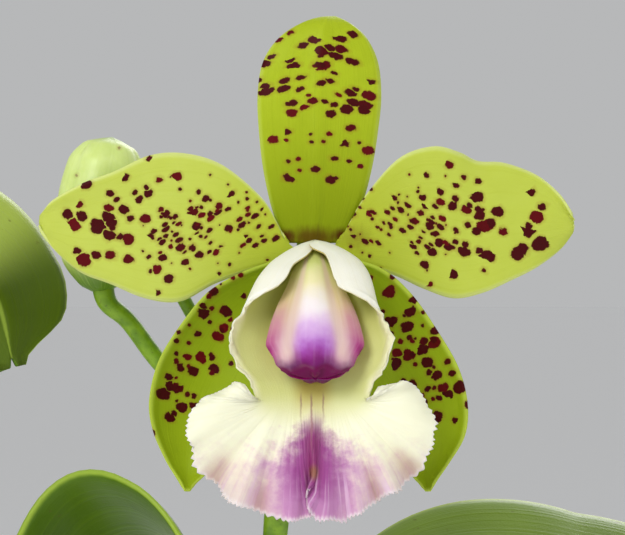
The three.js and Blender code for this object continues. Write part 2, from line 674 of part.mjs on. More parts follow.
// The whole plant
add('pot', pot(), 0xb5694a, 0.9);
add('bark_medium', barkMedium(), 0x5b3a22, 0.95);
add('rhizome_roots', fromSolid(rhizomeAndRoots(0)), 0xa8ab8c, 0.8);
const seat = rhizomeAndRoots(GAP);
const stalkSocket = toSolid(stem(
  [point(-8, -9, 230 - GAP), point(-8, -9, 236)], () => STALK_RADIUS + GAP, 1, 8,
));
for (const [name, shape] of Object.entries(BULBS)) {
  const seated = Object.values(LEAVES).filter(({ cane }) => cane === name);
  const clear = join([seat, stalkSocket, ...seated.map((one) => toSolid(leaf(one, GAP)))]);
  add(`pseudobulb_${name}`, fromSolid(bulb(shape, 0).subtract(clear)), 0x7f9440, 0.6);
}
add('young_shoot', fromSolid(youngShoot(0).subtract(seat)), 0x8fae3c, 0.5);
for (const [name, shape] of Object.entries(LEAVES)) {
  add(`leaf_${name}`, leaf(shape), 0x4f7a22, 0.4);
}
add('floral_sheath', floralSheath(), 0x9c9a55, 0.8);
add('flower_stalk', flowerStalk(), 0x6d9a26, 0.5);
add('bud_large', bud(BUDS.large), 0xc9dc78, 0.5);
add('bud_small', bud(BUDS.small), 0xa6c455, 0.5);
for (const [name, shape] of Object.entries(TEPALS)) {
  add(name, tepal(shape), name.startsWith('petal') ? 0xc0d052 : 0xa4bb25, 0.5);
}
add('lip', blade(lipSurface, 15, LIP_COLUMNS, LIP_THICKNESS), 0xf1e6df, 0.6);
add('column', column(), 0xd9b3d6, 0.5);
add('anther_cap', antherCap(), 0x6b0f55, 0.5);

export default group;
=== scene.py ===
# %% [markdown]
# # A potted cattleya orchid
# A cattleya is a tree-dwelling orchid. It creeps over bark on a woody runner, swells each shoot
# into a water-storing cane, and carries one or two leathery leaves on every cane. This lesson
# dresses a plain model of such a plant: a spotted green bloom and two buds over their leaves, in
# a clay pot. The plain model says where each piece is; here each one gets its real surface.

# %% Load the plain model
import math
import random

import bpy
from mathutils import Matrix, Vector, noise


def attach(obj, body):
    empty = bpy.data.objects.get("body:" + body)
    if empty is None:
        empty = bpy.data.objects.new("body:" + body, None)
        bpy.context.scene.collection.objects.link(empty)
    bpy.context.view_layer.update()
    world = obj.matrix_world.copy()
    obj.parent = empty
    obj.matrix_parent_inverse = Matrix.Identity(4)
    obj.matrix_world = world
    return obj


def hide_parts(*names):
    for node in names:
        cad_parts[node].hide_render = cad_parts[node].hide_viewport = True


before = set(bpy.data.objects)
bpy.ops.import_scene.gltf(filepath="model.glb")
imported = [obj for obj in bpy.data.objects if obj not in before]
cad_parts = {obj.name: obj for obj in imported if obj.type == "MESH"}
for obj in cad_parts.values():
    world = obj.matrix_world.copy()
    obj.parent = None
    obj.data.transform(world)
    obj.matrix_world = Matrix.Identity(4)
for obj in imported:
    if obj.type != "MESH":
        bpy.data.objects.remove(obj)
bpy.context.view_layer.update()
MM = 0.001
BODY = "root"


def made(add, name, **settings):
    """Adds one object by its operator, names it and leaves it as the only one selected."""
    bpy.ops.object.select_all(action="DESELECT")
    add(**settings)
    piece = bpy.context.object
    piece.name = piece.data.name = name
    return piece


# %% [markdown]
# ## Camera and light
# The bloom is looked at level and from straight in front. A long lens from 0.6 m flattens the
# view as a portrait lens does, so the petals keep their true outline. One large soft light from
# the upper left models the folds, a weaker one fills the shadows, and a third catches the rims
# from behind. A pale surround does the rest, as in a light tent.

# %% Camera
BLOOM = Vector((0, -32, 322))
VIEW_DISTANCE = 0.6
VIEW_HEIGHT = 0.3184
LENS = 218.7
SENSOR = 36

camera = made(
    bpy.ops.object.camera_add, "bloom_camera",
    location=(0, BLOOM.y * MM - VIEW_DISTANCE, VIEW_HEIGHT), rotation=(math.radians(90), 0, 0),
)
camera.data.lens = LENS
camera.data.sensor_width = SENSOR
camera.data.clip_start = 0.01
camera.data.clip_end = 200
bpy.context.scene.camera = camera
print("frame at the bloom:", round(VIEW_DISTANCE * SENSOR / LENS * 1000, 1), "mm wide")

# %% Lights, surround and floor
FLOOR_SIZE = 60
LIT_PLACE = Vector((0, 0, 0.26))
bpy.context.scene.view_settings.view_transform = "Standard"


def soft_light(name, place, size, watts):
    """A square lamp panel that faces the plant."""
    lamp = made(bpy.ops.object.light_add, name, type="AREA", location=place)
    lamp.data.size = size
    lamp.data.energy = watts
    lamp.rotation_euler = (LIT_PLACE - Vector(place)).to_track_quat("-Z", "Y").to_euler()


soft_light("key_light", (-0.7, -1.0, 1.15), 0.7, 11)
soft_light("fill_light", (1.1, -1.1, 0.5), 1.0, 3)
soft_light("back_light", (0.4, 1.2, 1.1), 0.8, 8)

surround = bpy.data.worlds.new("pale_surround")
surround.use_nodes = True
surround.node_tree.nodes["Background"].inputs["Color"].default_value = (0.86, 0.87, 0.88, 1)
surround.node_tree.nodes["Background"].inputs["Strength"].default_value = 0.55
bpy.context.scene.world = surround

floor = made(bpy.ops.mesh.primitive_plane_add, "studio_floor", size=FLOOR_SIZE)
paper = bpy.data.materials.new("pale_paper")
paper.use_nodes = True
paper.node_tree.nodes["Principled BSDF"].inputs["Base Color"].default_value = (0.985, 0.985, 0.985, 1)
paper.node_tree.nodes["Principled BSDF"].inputs["Roughness"].default_value = 0.9
floor.data.materials.append(paper)

# %% [markdown]
# ## Smooth lines and widths
# Nearly every piece of a plant is a width that changes along a line. Two small tools give both.
# A profile reads a value off a few [place, value] pairs without overshooting them, and a smooth
# line runs through a few points so that equal steps cover equal lengths.

# %% Profiles and lines
LINE_SAMPLES = 240


def profile(pairs):
    """A smooth value through [place, value] pairs, flat at its peaks."""

    def slope(i):
        if i in (0, len(pairs) - 1):
            return 0
        before = (pairs[i][1] - pairs[i - 1][1]) / (pairs[i][0] - pairs[i - 1][0])
        after = (pairs[i + 1][1] - pairs[i][1]) / (pairs[i + 1][0] - pairs[i][0])
        return 0 if before * after <= 0 else 2 * before * after / (before + after)

    def value(place):
        i = 0
        while i < len(pairs) - 2 and place > pairs[i + 1][0]:
            i += 1
        span = pairs[i + 1][0] - pairs[i][0]
        k = min(1, max(0, (place - pairs[i][0]) / span))
        blend = k * k * (3 - 2 * k)
        bend = k * (1 - k) * ((1 - k) * slope(i) - k * slope(i + 1)) * span
        return pairs[i][1] + (pairs[i + 1][1] - pairs[i][1]) * blend + bend

    return value


def through(points, evenness):
    """A smooth curve through points; evenness 0.5 keeps uneven steps from looping, 0 is plain."""
    points = [Vector(p) for p in points]
    padded = [2 * points[0] - points[1], *points, 2 * points[-1] - points[-2]]

    def place(t):
        i = min(len(points) - 2, max(0, int(t)))
        k = t - i
        a, b, c, d = padded[i : i + 4]
        ab, bc, cd = (max((q - p).length, 1e-4) ** evenness for p, q in ((a, b), (b, c), (c, d)))
        leave = ((b - a) / ab - (c - a) / (ab + bc) + (c - b) / bc) * bc
        arrive = ((c - b) / bc - (d - b) / (bc + cd) + (d - c) / cd) * bc
        return (
            b
            + leave * k
            + (-3 * b + 3 * c - 2 * leave - arrive) * k * k
            + (2 * b - 2 * c + leave + arrive) * k**3
        )

    return lambda s: place(min(1, max(0, s)) * (len(points) - 1))


class Line:
    """A smooth line in mm; at() and along() take the share of its length."""

    def __init__(self, points):
        curve = through(points, 0.5)
        self.samples = [curve(i / LINE_SAMPLES) for i in range(LINE_SAMPLES + 1)]
        self.lengths = [0]
        for a, b in zip(self.samples, self.samples[1:]):
            self.lengths.append(self.lengths[-1] + (b - a).length)
        self.length = self.lengths[-1]

    def at(self, share):
        goal = min(1, max(0, share)) * self.length
        low, high = 0, LINE_SAMPLES
        while high - low > 1:
            middle = (low + high) // 2
            low, high = (middle, high) if self.lengths[middle] <= goal else (low, middle)
        k = (goal - self.lengths[low]) / max(self.lengths[high] - self.lengths[low], 1e-9)
        return self.samples[low].lerp(self.samples[high], k)

    def along(self, share):
        step = 0.004
        return (self.at(min(1, share + step)) - self.at(max(0, share - step))).normalized()


def smooth(low, high, value):
    """0 below low, 1 above high, and a soft step between."""
    k = min(1, max(0, (value - low) / (high - low)))
    return k * k * (3 - 2 * k)


def in_bloom(x, y, z):
    return BLOOM + Vector((x, y, z))


print("a line of three points is", round(Line([(0, 0, 0), (5, 0, 5), (10, 0, 0)]).length, 2), "mm")

# %% [markdown]
# ## Sheets and rolled stems
# A petal or a leaf is a thin skin. A flat grid is laid on its surface point by point, and Solidify
# gives it flesh that thins towards the margin, as in the real tissue. A stem is the same grid
# rolled round a line, with the seam and both ends sewn shut.

# %% Sheets
MARGIN = 0.12


def shown(piece, slot_name, *nodes, finish=None):
    """Hands a finished piece to the frame, standing for those plain nodes."""
    if finish:
        piece.data.materials.append(finish)
    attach(piece, BODY)
    if nodes:
        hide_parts(*nodes)
    print(piece.name, len(piece.data.polygons), "faces")


def grid(name, rows, columns):
    add = bpy.ops.mesh.primitive_grid_add
    return made(add, name, x_subdivisions=rows, y_subdivisions=columns, size=2)


def apply_all(piece):
    bpy.context.view_layer.objects.active = piece
    for modifier in list(piece.modifiers):
        bpy.ops.object.modifier_apply(modifier=modifier.name)


def sheet(name, rows, columns, surface, thickness, thin_edge=0.4, inner=False):
    """A thin skin on surface(u, v), u in 0..1 and v in -1..1; inner gives its back a second finish."""
    piece = grid(name, rows, columns)
    flesh = piece.vertex_groups.new(name="flesh")
    for vertex in piece.data.vertices:
        u, v = (vertex.co.x + 1) / 2, vertex.co.y
        edge = min((1 - abs(v)) / MARGIN, (1 - u) / MARGIN, 1)
        flesh.add([vertex.index], smooth(0, 1, edge), "REPLACE")
        vertex.co = surface(u, v) * MM
    thicken = piece.modifiers.new("flesh", "SOLIDIFY")
    thicken.thickness = thickness * MM
    thicken.offset = 0
    thicken.vertex_group = "flesh"
    thicken.thickness_vertex_group = thin_edge
    if inner:
        piece.data.materials.append(None)
        piece.data.materials.append(None)
        thicken.material_offset = 1
    apply_all(piece)
    piece.vertex_groups.clear()
    bpy.ops.object.shade_smooth()
    return piece


# %% Rolled stems
SEWN = 0.00002


def edited(step, **settings):
    """Runs one step of mesh editing on the whole of the active mesh."""
    bpy.ops.object.mode_set(mode="EDIT")
    bpy.ops.mesh.select_all(action="SELECT")
    step(**settings)
    bpy.ops.object.mode_set(mode="OBJECT")


def sew(piece):
    """Merges the seam and the poles, then turns all faces outwards."""
    bpy.context.view_layer.objects.active = piece
    edited(bpy.ops.mesh.remove_doubles, threshold=SEWN)
    edited(bpy.ops.mesh.normals_make_consistent, inside=False)
    bpy.ops.object.shade_smooth()


def spoke(centre, side, other, reach, angle):
    """The outer end of a spoke at that angle round a centre line."""
    return centre + side * reach * math.cos(angle) + other * reach * math.sin(angle)


def rolled(name, line, radius, rows, sides):
    """A stem round a line; radius(s, angle) is in mm, and angle 0 starts towards the right."""
    across = Vector((1, 0, 0))
    hoops = []
    for i in range(rows + 1):
        s = i / rows
        along = line.along(s)
        across = (across - along * across.dot(along)).normalized()
        hoops.append((line.at(s), across.copy(), along.cross(across)))
    piece = grid(name, rows, sides)
    for vertex in piece.data.vertices:
        i = round((vertex.co.x + 1) / 2 * rows)
        angle = math.pi * vertex.co.y
        reach = 0 if i in (0, rows) else radius(i / rows, angle)
        vertex.co = spoke(*hoops[i], reach, angle) * MM
    sew(piece)
    return piece


def joined(name, pieces):
    bpy.ops.object.select_all(action="DESELECT")
    for piece in pieces:
        piece.select_set(True)
    bpy.context.view_layer.objects.active = pieces[0]
    if len(pieces) > 1:
        bpy.ops.object.join()
    piece = bpy.context.object
    piece.name = piece.data.name = name
    return piece


print("sheets thin out over the last", round(MARGIN * 100), "% of their width")

# %% [markdown]
# ## How a finish is put together
# A plant's colour is layered: a ground colour, paler rims, veins, then spots. The Finish class
# adds one node at a time and hands back its output, so that a finish below reads as a recipe.
# Places are read from the object's own coordinates, in mm, so nothing slides when the view turns.

# %% Finish
SMALLEST_SPOT = 0.4
SPOT_CRISP = 9
HALO_CRISP = 2.4


def colour(red, green, blue):
    """A colour given as on a paint chart, 0 to 255, for a shader."""
    parts = [c / 255 for c in (red, green, blue)]
    return (*[c / 12.92 if c <= 0.04045 else ((c + 0.055) / 1.055) ** 2.4 for c in parts], 1)


class Finish:
    def __init__(self, name, roughness, glow=(0, 0.2, 0.1, 50), **sockets):
        """glow is how much light the flesh lets in, how far green and blue reach, and the depth."""
        self.material = bpy.data.materials.new(name)
        self.material.use_nodes = True
        self.tree = self.material.node_tree
        self.shader = self.tree.nodes["Principled BSDF"]
        self.shader.inputs["Roughness"].default_value = roughness
        weight, green, blue, depth = glow
        sockets |= {"Subsurface_Weight": weight, "Subsurface_Radius": (1, green, blue)}
        sockets["Subsurface_Scale"] = depth * MM
        for socket, value in sockets.items():
            self.shader.inputs[socket.replace("_", " ")].default_value = value
        self.source = self.tree.nodes.new("ShaderNodeTexCoord")

    def feed(self, socket, value):
        if isinstance(value, bpy.types.NodeSocket):
            self.tree.links.new(value, socket)
        else:
            socket.default_value = value

    def add(self, kind, inputs, output=0, **settings):
        node = self.tree.nodes.new("ShaderNode" + kind)
        for key, value in settings.items():
            setattr(node, key, value)
        for key, value in inputs.items():
            self.feed(node.inputs[key], value)
        return node.outputs[output]

    def sum(self, a, b, operation="ADD", clamp=False):
        return self.add("Math", {0: a, 1: b}, operation=operation, use_clamp=clamp)

    def times(self, a, b):
        return self.sum(a, b, "MULTIPLY")

    def off(self, value, centre):
        """How far a value lies from centre."""
        return self.sum(self.sum(value, centre, "SUBTRACT"), 0, "ABSOLUTE")

    def step(self, value, low, high):
        """0 at low, 1 at high; low may be the larger one."""
        inputs = {"Value": value, "From Min": low, "From Max": high}
        return self.add("MapRange", inputs, interpolation_type="SMOOTHSTEP")

    def mix(self, factor, a, b, strength=1):
        factor = factor if strength == 1 else self.times(factor, strength)
        return self.add("Mix", {0: factor, 6: a, 7: b}, 2, data_type="RGBA")

    def coat(self, where, tint, strength=1):
        """Lays a colour over the base that the finish has so far."""
        self.base = self.mix(where, self.base, tint, strength)

    def oval(self, vector, centre, reach, lean=0):
        """How far out a place is in a leaning oval, 1 on its rim."""
        turn = (0, 0, math.radians(lean))
        inputs = {"Vector": vector, "Location": (*centre, 0), "Rotation": turn, "Scale": (*reach, 1)}
        fitted = self.add("Mapping", inputs, vector_type="TEXTURE")
        return self.add("VectorMath", {0: fitted}, 1, operation="LENGTH")

    def place(self, centre=(0, 0, 0), scale=(1, 1, 1), turn=(0, 0, 0)):
        """The object's own coordinates in mm from centre."""
        moved = self.add(
            "VectorMath",
            {0: self.source.outputs["Object"], 1: Vector(centre) * MM},
            operation="SUBTRACT",
        )
        inputs = {"Vector": moved, "Rotation": turn, "Scale": Vector(scale) / MM}
        return self.add("Mapping", inputs)

    def sheet_place(self, scale=(1, 1, 1)):
        """Along and across the sheet, each 0 to 1, times scale."""
        return self.add("Mapping", {"Vector": self.source.outputs["UV"], "Scale": scale})

    def parts(self, vector):
        split = self.add("SeparateXYZ", {0: vector}).node
        return split.outputs[0], split.outputs[1], split.outputs[2]

    def clouds(self, vector, scale, detail=3, rough=0.5, output=0):
        inputs = {"Vector": vector, "Scale": scale, "Detail": detail, "Roughness": rough}
        return self.add("TexNoise", inputs, output)

    def bump(self, height, distance, strength=1.0, under=None):
        inputs = {"Height": height, "Distance": distance * MM, "Strength": strength}
        if under is not None:
            inputs["Normal"] = under
        return self.add("Bump", inputs)

    def flat(self, place):
        """A view from the front: x and height, for patterns that run through a thin blade."""
        x, _, z = self.parts(place)
        return self.add("CombineXYZ", {0: x, 1: z, 2: 0.0})

    def spots(self, flat, cell, reach, where, stretch=(1, 1), turn=0, ragged=0.55, seed=0):
        """Blotches, at most one in each cell of so many mm. where gives the chance that a cell has
        one, so that each keeps its whole outline. Gives the spot, its halo and a draw."""
        wander = self.clouds(flat, 0.8 / reach, 3, 0.6, output=1)
        wander = self.add("VectorMath", {0: wander, 1: (0.5, 0.5, 0.5)}, operation="SUBTRACT")
        wander = self.add("VectorMath", {0: wander, "Scale": 2 * ragged * reach}, operation="SCALE")
        fit = {
            "Location": (seed, seed, 0),
            "Rotation": (0, 0, math.radians(turn)),
            "Scale": (*stretch, 1),
        }
        uneven = self.add("VectorMath", {0: flat, 1: wander})
        spread = self.add("Mapping", {"Vector": uneven, **fit}, vector_type="TEXTURE")
        inputs = {"Vector": spread, "Scale": 1 / cell}
        cells = self.add("TexVoronoi", inputs, voronoi_dimensions="2D").node
        home = self.add("Mapping", {"Vector": cells.outputs["Position"], **fit})
        draws = self.parts(cells.outputs["Color"])
        there = self.sum(draws[0], where(self, home), "LESS_THAN")
        size = self.sum(self.times(draws[1], (1 - SMALLEST_SPOT) * reach), SMALLEST_SPOT * reach)
        away = self.times(cells.outputs["Distance"], cell)
        inside = self.sum(size, away, "SUBTRACT")
        spot = self.sum(self.times(inside, SPOT_CRISP), 0.5, clamp=True)
        halo = self.sum(self.times(inside, HALO_CRISP), 1.1, clamp=True)
        return (
            self.times(spot, there),
            self.times(halo, there),
            draws[2],
        )

    def done(self, normal, rough=None):
        self.feed(self.shader.inputs["Base Color"], self.base)
        self.feed(self.shader.inputs["Normal"], normal)
        if rough is not None:
            self.feed(self.shader.inputs["Roughness"], rough)
        return self.material


print("white on the chart is", colour(255, 255, 255)[:3])

# %% [markdown]
# ## Sepals and petals
# Five fleshy blades stand round the centre: an upright dorsal sepal, two petals held level, and
# two lateral sepals that curve down behind the lip. Each margin is given by the few points a
# botanist would mark from base to tip, and the depth says how the blade cups and waves.

# %% Outlines of the five blades
TEPALS = {
    "dorsal_sepal": [
        [-4.4, 0.3, 4.7, 0.3], [-5.6, 3.2, 6.4, 3.2], [-6.8, 7.1, 8.1, 7.1],
        [-7.9, 12.6, 9.5, 12.6], [-8.5, 18.2, 10.4, 18.2], [-8.7, 23.7, 10.9, 23.7],
        [-7.9, 28.9, 10.4, 28.9], [-5.5, 32.7, 8.7, 32.7], [-2.1, 35.1, 6.2, 35.1],
        [1.1, 36.1, 3.9, 36.2], [2.3, 36.4, 3.2, 36.4],
    ],
    "petal_left": [
        [-4.3, 0.6, -1.7, -1.4], [-5.6, 3.5, -5.2, -3], [-8.2, 7.6, -9, -3.8],
        [-14.2, 12.6, -15.5, -6.2], [-20.2, 14.5, -21, -9], [-25.8, 14.2, -26.5, -8.5],
        [-31.3, 11.7, -32.1, -6.2], [-36.8, 9.6, -36.8, -4.4], [-41.2, 7.1, -40.8, -1.1],
        [-43, 5.2, -42.7, 1.4], [-43.5, 4.1, -43.5, 3],
    ],
    "petal_right": [
        [4.4, 0.6, 1.7, -1.4], [5.9, 3.6, 5.2, -2.7], [8.6, 8.1, 9, -3.5],
        [13.7, 13.7, 13.6, -5.1], [19.1, 15.6, 17.7, -7], [23.2, 14.7, 22.4, -8.5],
        [26.2, 13.3, 27, -7.6], [30.5, 13, 31.4, -5.7], [35.6, 11.1, 35.6, -3.6],
        [39, 8.2, 39.3, -0.8], [40.9, 5.4, 41.1, 1.6], [41.6, 4, 41.6, 3],
    ],
    "lateral_sepal_left": [
        [-1.7, -0.8, -0.3, -2.7], [-6.5, -2.7, -1.8, -7.4], [-11.5, -4.6, -3.6, -12.6],
        [-16.6, -7.7, -5.5, -17.4], [-21, -13.1, -7.4, -22.1], [-24.2, -18.5, -9.3, -25.8],
        [-25.6, -24.5, -11.5, -29.2], [-25, -29.2, -14.1, -32.4], [-22.9, -34, -16.7, -35.9],
        [-20.9, -37.1, -18.5, -37.6], [-20, -38.6, -19.2, -38.6],
    ],
    "lateral_sepal_right": [
        [1.7, -0.8, 0.3, -2.7], [6.2, -2.2, 1.8, -7.4], [11.2, -4, 3.6, -12.6],
        [15.6, -7.9, 5.5, -17.4], [19.8, -13.9, 7.4, -22.1], [22.9, -19.4, 9.3, -25.8],
        [24.3, -25, 11.2, -29.2], [23.9, -29.9, 13.3, -32.7], [21.5, -34.1, 15.6, -36.2],
        [19.4, -37, 16.9, -37.6], [18.5, -38.6, 17.7, -38.6],
    ],
}


def dorsal_depth(u, v):
    cup = 2.6 - 1.2 * math.sin(math.pi * u) + 6 * u**4
    return cup + 1.3 * v * v * math.sin(math.pi * u) - 0.25 * math.exp(-((v / 0.09) ** 2))


def left_petal_depth(u, v):
    return 1.4 + 3.4 * u * u + 1.3 * v * v * u * math.sin(9 * u + 1.5 * v)


def right_petal_depth(u, v):
    return 1.4 + 3 * u * u + 1.5 * v * v * u * math.sin(11 * u - 1.2 * v)


def lateral_depth(u, v):
    cup = 0.2 + 2.2 * math.sin(math.pi * u) * (1 - 1.5 * v * v) - 5 * u**3
    return cup - 0.9 * smooth(-0.84, -1, v) * math.sin(math.pi * u)


DEPTHS = {
    "dorsal_sepal": dorsal_depth,
    "petal_left": left_petal_depth,
    "petal_right": right_petal_depth,
    "lateral_sepal_left": lateral_depth,
    "lateral_sepal_right": lateral_depth,
}
TEPAL_THICKNESS = 0.7
RIPPLE = 0.36
TEPAL_GRID = (64, 28)


def tepal(name):
    stations = TEPALS[name]
    first = through([(x, 0, z) for x, z, _, _ in stations], 0)
    second = through([(x, 0, z) for _, _, x, z in stations], 0)

    def surface(u, v):
        across = first(u).lerp(second(u), (v + 1) / 2)
        uneven = noise.noise(across * 0.22) + 0.4 * noise.noise(across * 0.6)
        return in_bloom(across.x, DEPTHS[name](u, v) + RIPPLE * uneven * u, across.z)

    return sheet("blade_of_" + name, *TEPAL_GRID, surface, TEPAL_THICKNESS)


blades = {name: tepal(name) for name in TEPALS}

# %% [markdown]
# ## Spotted green skin
# The green comes from a yellow-green ground that turns olive towards the base and fine veins along
# the blade. A pale rim along the margin and tip is painted highlight, where the thin tissue catches
# the light. The maroon spots are drawn one per cell of an uneven mesh, so that they never overlap
# into a pattern: a draw decides whether a cell has a spot, and the share of spotted cells changes
# over the blade as it does on the flower.

# %% Where the spots are
def patch(share, centre, half_wide, half_high, lean=0, fade=0.3):
    """The chance of a spot: share inside a leaning oval round centre, fading to none outside."""

    def chance(skin, home):
        out = skin.oval(home, centre, (half_wide, half_high), lean)
        return skin.times(skin.step(out, 1 + fade, 1 - fade), share)

    return chance


# %% Green skin
MAROON = colour(70, 0, 4)
CRIMSON = colour(98, 0, 8)
HALO = colour(150, 96, 30)
STAIN_AND_PAINTED_SHADE = colour(88, 24, 4)


def green_skin(name, ground, deep, rim, layers, stains_and_painted_shade=()):
    """layers holds spots() arguments; the last argument holds the centre, reach and strength of brown
    marks: stains on the dorsal sepal, painted shade near the base of the right petal.
    """
    skin = Finish(name, 0.5, glow=(0.15, 1, 0.3, 0.5), Specular_IOR_Level=0.12)
    place = skin.place(BLOOM)
    flat = skin.flat(place)
    out = skin.add("VectorMath", {0: flat}, 1, operation="LENGTH")
    along, across, _ = skin.parts(skin.sheet_place())
    skin.base = skin.mix(skin.step(out, 26, 4), ground, deep)
    mottle = skin.clouds(flat, 0.35, 4)
    streaks = skin.clouds(skin.place(BLOOM, (1.6, 1, 0.4)), 1, 3)
    skin.coat(mottle, deep, 0.35)
    veins = skin.clouds(skin.sheet_place((2.2, 46, 1)), 1, 2)
    skin.coat(skin.step(veins, 0.5, 0.75), deep, 0.22)
    # The pale rim along the margins and the tip is painted highlight.
    middle = skin.off(across, 0.5)
    edge = skin.sum(skin.step(middle, 0.455, 0.5), skin.step(along, 0.965, 1), "MAXIMUM")
    skin.coat(edge, rim, 0.75)
    for centre, reach, strength in stains_and_painted_shade:
        stain_and_painted_shade = skin.oval(flat, centre, reach)
        stain_and_painted_shade = skin.step(skin.sum(stain_and_painted_shade, skin.times(streaks, 0.6)), 1.4, 0.5)
        skin.coat(stain_and_painted_shade, STAIN_AND_PAINTED_SHADE, strength)
    drawn = [skin.spots(flat, **layer) for layer in layers]
    for _, halo, _ in drawn:
        skin.coat(halo, HALO, 0.3)
    for spot, _, draw in drawn:
        skin.coat(spot, skin.mix(skin.step(draw, 0.6, 1), MAROON, CRIMSON))
    cells = skin.clouds(place, 4.5, 3)
    normal = skin.bump(veins, 0.12, 0.5, skin.bump(cells, 0.05, 0.4))
    return skin.done(normal)


# %% Dorsal sepal
TEPAL_SKINS = {}
TEPAL_SKINS["dorsal_sepal"] = green_skin(
    "dorsal_green", colour(178, 196, 34), colour(138, 155, 6), colour(200, 216, 92),
    [
        dict(cell=1.7, reach=0.8, stretch=(1.8, 0.92), turn=14, seed=3,
             where=patch(0.97, (-3, 28.2), 5.4, 6.6)),
        dict(cell=1.7, reach=0.8, stretch=(1.8, 0.92), turn=-16, seed=37,
             where=patch(0.97, (5.4, 27.8), 4.6, 6.6)),
        dict(cell=2.1, reach=0.78, stretch=(1.45, 1), seed=11,
             where=patch(0.6, (1, 17), 9, 7)),
        dict(cell=1.5, reach=0.4, stretch=(1.3, 1), seed=23, where=patch(0.25, (1, 14), 8, 7)),
    ],
    stains_and_painted_shade=[((0, 1.2), (5.2, 2.2), 0.75), ((-4.2, 1.4), (1.5, 1.5), 0.9), ((4.4, 1.5), (1.5, 1.5), 0.9)],
)

# %% Petals
TEPAL_SKINS["petal_left"] = green_skin(
    "left_petal_green", colour(200, 212, 94), colour(180, 193, 52), colour(222, 232, 148),
    [
        dict(cell=2.5, reach=1.25, stretch=(1.2, 1), turn=-12, seed=5,
             where=patch(0.85, (-33.5, 3), 6.6, 7.2)),
        dict(cell=2.0, reach=0.78, stretch=(1.2, 1), turn=24, seed=17,
             where=patch(0.7, (-23, 3.5), 8, 9.5)),
        dict(cell=1.35, reach=0.52, stretch=(1.5, 0.9), turn=34, seed=29,
             where=patch(0.72, (-15, 2.6), 11, 4.2, 6)),
        dict(cell=1.5, reach=0.34, seed=33, where=patch(0.3, (-14, 4), 14, 9)),
    ],
)
TEPAL_SKINS["petal_right"] = green_skin(
    "right_petal_green", colour(196, 209, 84), colour(176, 188, 46), colour(220, 230, 146),
    [
        dict(cell=2.5, reach=1.25, stretch=(1.2, 1), turn=12, seed=7,
             where=patch(0.85, (31, 3), 6.6, 7.2)),
        dict(cell=2.0, reach=0.78, stretch=(1.2, 1), turn=-24, seed=19,
             where=patch(0.7, (21.5, 3.5), 8, 9.5)),
        dict(cell=1.35, reach=0.52, stretch=(1.5, 0.9), turn=-34, seed=31,
             where=patch(0.72, (14, 3), 10, 4.2, -6)),
        dict(cell=1.5, reach=0.34, seed=39, where=patch(0.3, (13, 4), 13, 9)),
    ],
    # Painted shade near the base of the petal, laid on as a faint brown mark.
    stains_and_painted_shade=[((7, 1.2), (3, 2.6), 0.28)],
)

# %% Lateral sepals
lateral_greens = colour(156, 178, 24), colour(130, 152, 6), colour(188, 208, 76)
TEPAL_SKINS["lateral_sepal_left"] = green_skin(
    "left_lateral_green", *lateral_greens,
    [
        dict(cell=2.1, reach=0.98, turn=-30, stretch=(1.2, 1), seed=41,
             where=patch(0.85, (-18.6, -18.5), 4.4, 13, -24)),
        dict(cell=1.7, reach=0.5, seed=43, where=patch(0.35, (-16, -14), 6, 12, -24)),
    ],
)
TEPAL_SKINS["lateral_sepal_right"] = green_skin(
    "right_lateral_green", *lateral_greens,
    [
        dict(cell=2.1, reach=0.98, turn=30, stretch=(1.2, 1), seed=47,
             where=patch(0.9, (17.8, -19), 4.4, 13.5, 24)),
        dict(cell=1.7, reach=0.5, seed=53, where=patch(0.4, (15, -14), 6, 12, 24)),
    ],
)

for name, blade in blades.items():
    shown(blade, "petal" if name.startswith("petal") else "sepal", name, finish=TEPAL_SKINS[name])

# %% [markdown]
# ## The lip
# The third petal of an orchid is its landing place. Its side lobes fold over the column as an
# open tube, and below a narrow waist the mid lobe fans out with a frilled, finely toothed margin
# that is split at the middle. It is one grown piece, so one sheet makes all of it: the first part
# of its length wraps round a line, the rest spreads from the waist to the outline of the fan.

# %% Course and outline of the lip
LIP_WAIST = 0.55
LIP_THICKNESS = 0.6
LIP_GRID = (100, 420)
lip_course = through(
    [(0.3, -1.3, -3.2), (0.3, -4.8, -8.5), (0.3, -8.6, -14), (0.2, -12.2, -19.2), (0, -14.3, -24.6)],
    0.5,
)
lip_half_width = profile([
    [0, 5.8], [0.12, 7.4], [0.25, 9], [0.5, 11.1], [0.65, 12.7], [0.76, 12], [0.88, 9.7],
    [1, 8.9],
])
lip_back = profile([[0, 3.9], [0.25, 4.9], [0.55, 5.2], [0.8, 3.6], [1, 2]])
lip_front = profile([[0, 2.2], [0.3, 3.8], [0.6, 3.4], [1, 2]])
wrap_left = profile([
    [0, 182], [0.1, 169], [0.19, 155], [0.28, 153], [0.36, 147], [0.41, 129], [0.47, 108],
    [0.56, 95], [0.7, 88], [1, 78],
])
wrap_right = profile([
    [0, 196], [0.06, 186], [0.12, 167], [0.25, 163], [0.38, 158], [0.42, 145], [0.46, 126],
    [0.5, 104], [0.58, 93], [0.7, 88], [1, 78],
])
lip_closing = profile([[0, 0.04], [0.02, 0.42], [0.06, 0.78], [0.12, 0.97], [0.2, 1], [1, 1]])
LIP_FOOT = Vector((0.3, -1.5, 0.5))
LIP_MARGIN = [
    (-10.2, -21.8), (-12, -21.3), (-14.6, -23), (-17.5, -24.6), (-19, -28.6), (-18, -32.8),
    (-14.9, -37), (-11.2, -39.5), (-7.4, -41.3), (-3.1, -42.4), (-0.9, -41.7), (-0.3, -39.2),
    (0, -35.8), (0.3, -38.8), (1.1, -41.6), (3.9, -42.2), (7.2, -41.4), (10.1, -39),
    (13.6, -37.2), (16.8, -33.4), (18.5, -28.9), (17.5, -24.3), (14.6, -21.1), (12.5, -21.6),
    (10, -22.1),
]
lip_margin = through([(x, 0, z) for x, z in LIP_MARGIN], 0)
print("the fan's outline has", len(LIP_MARGIN), "points")


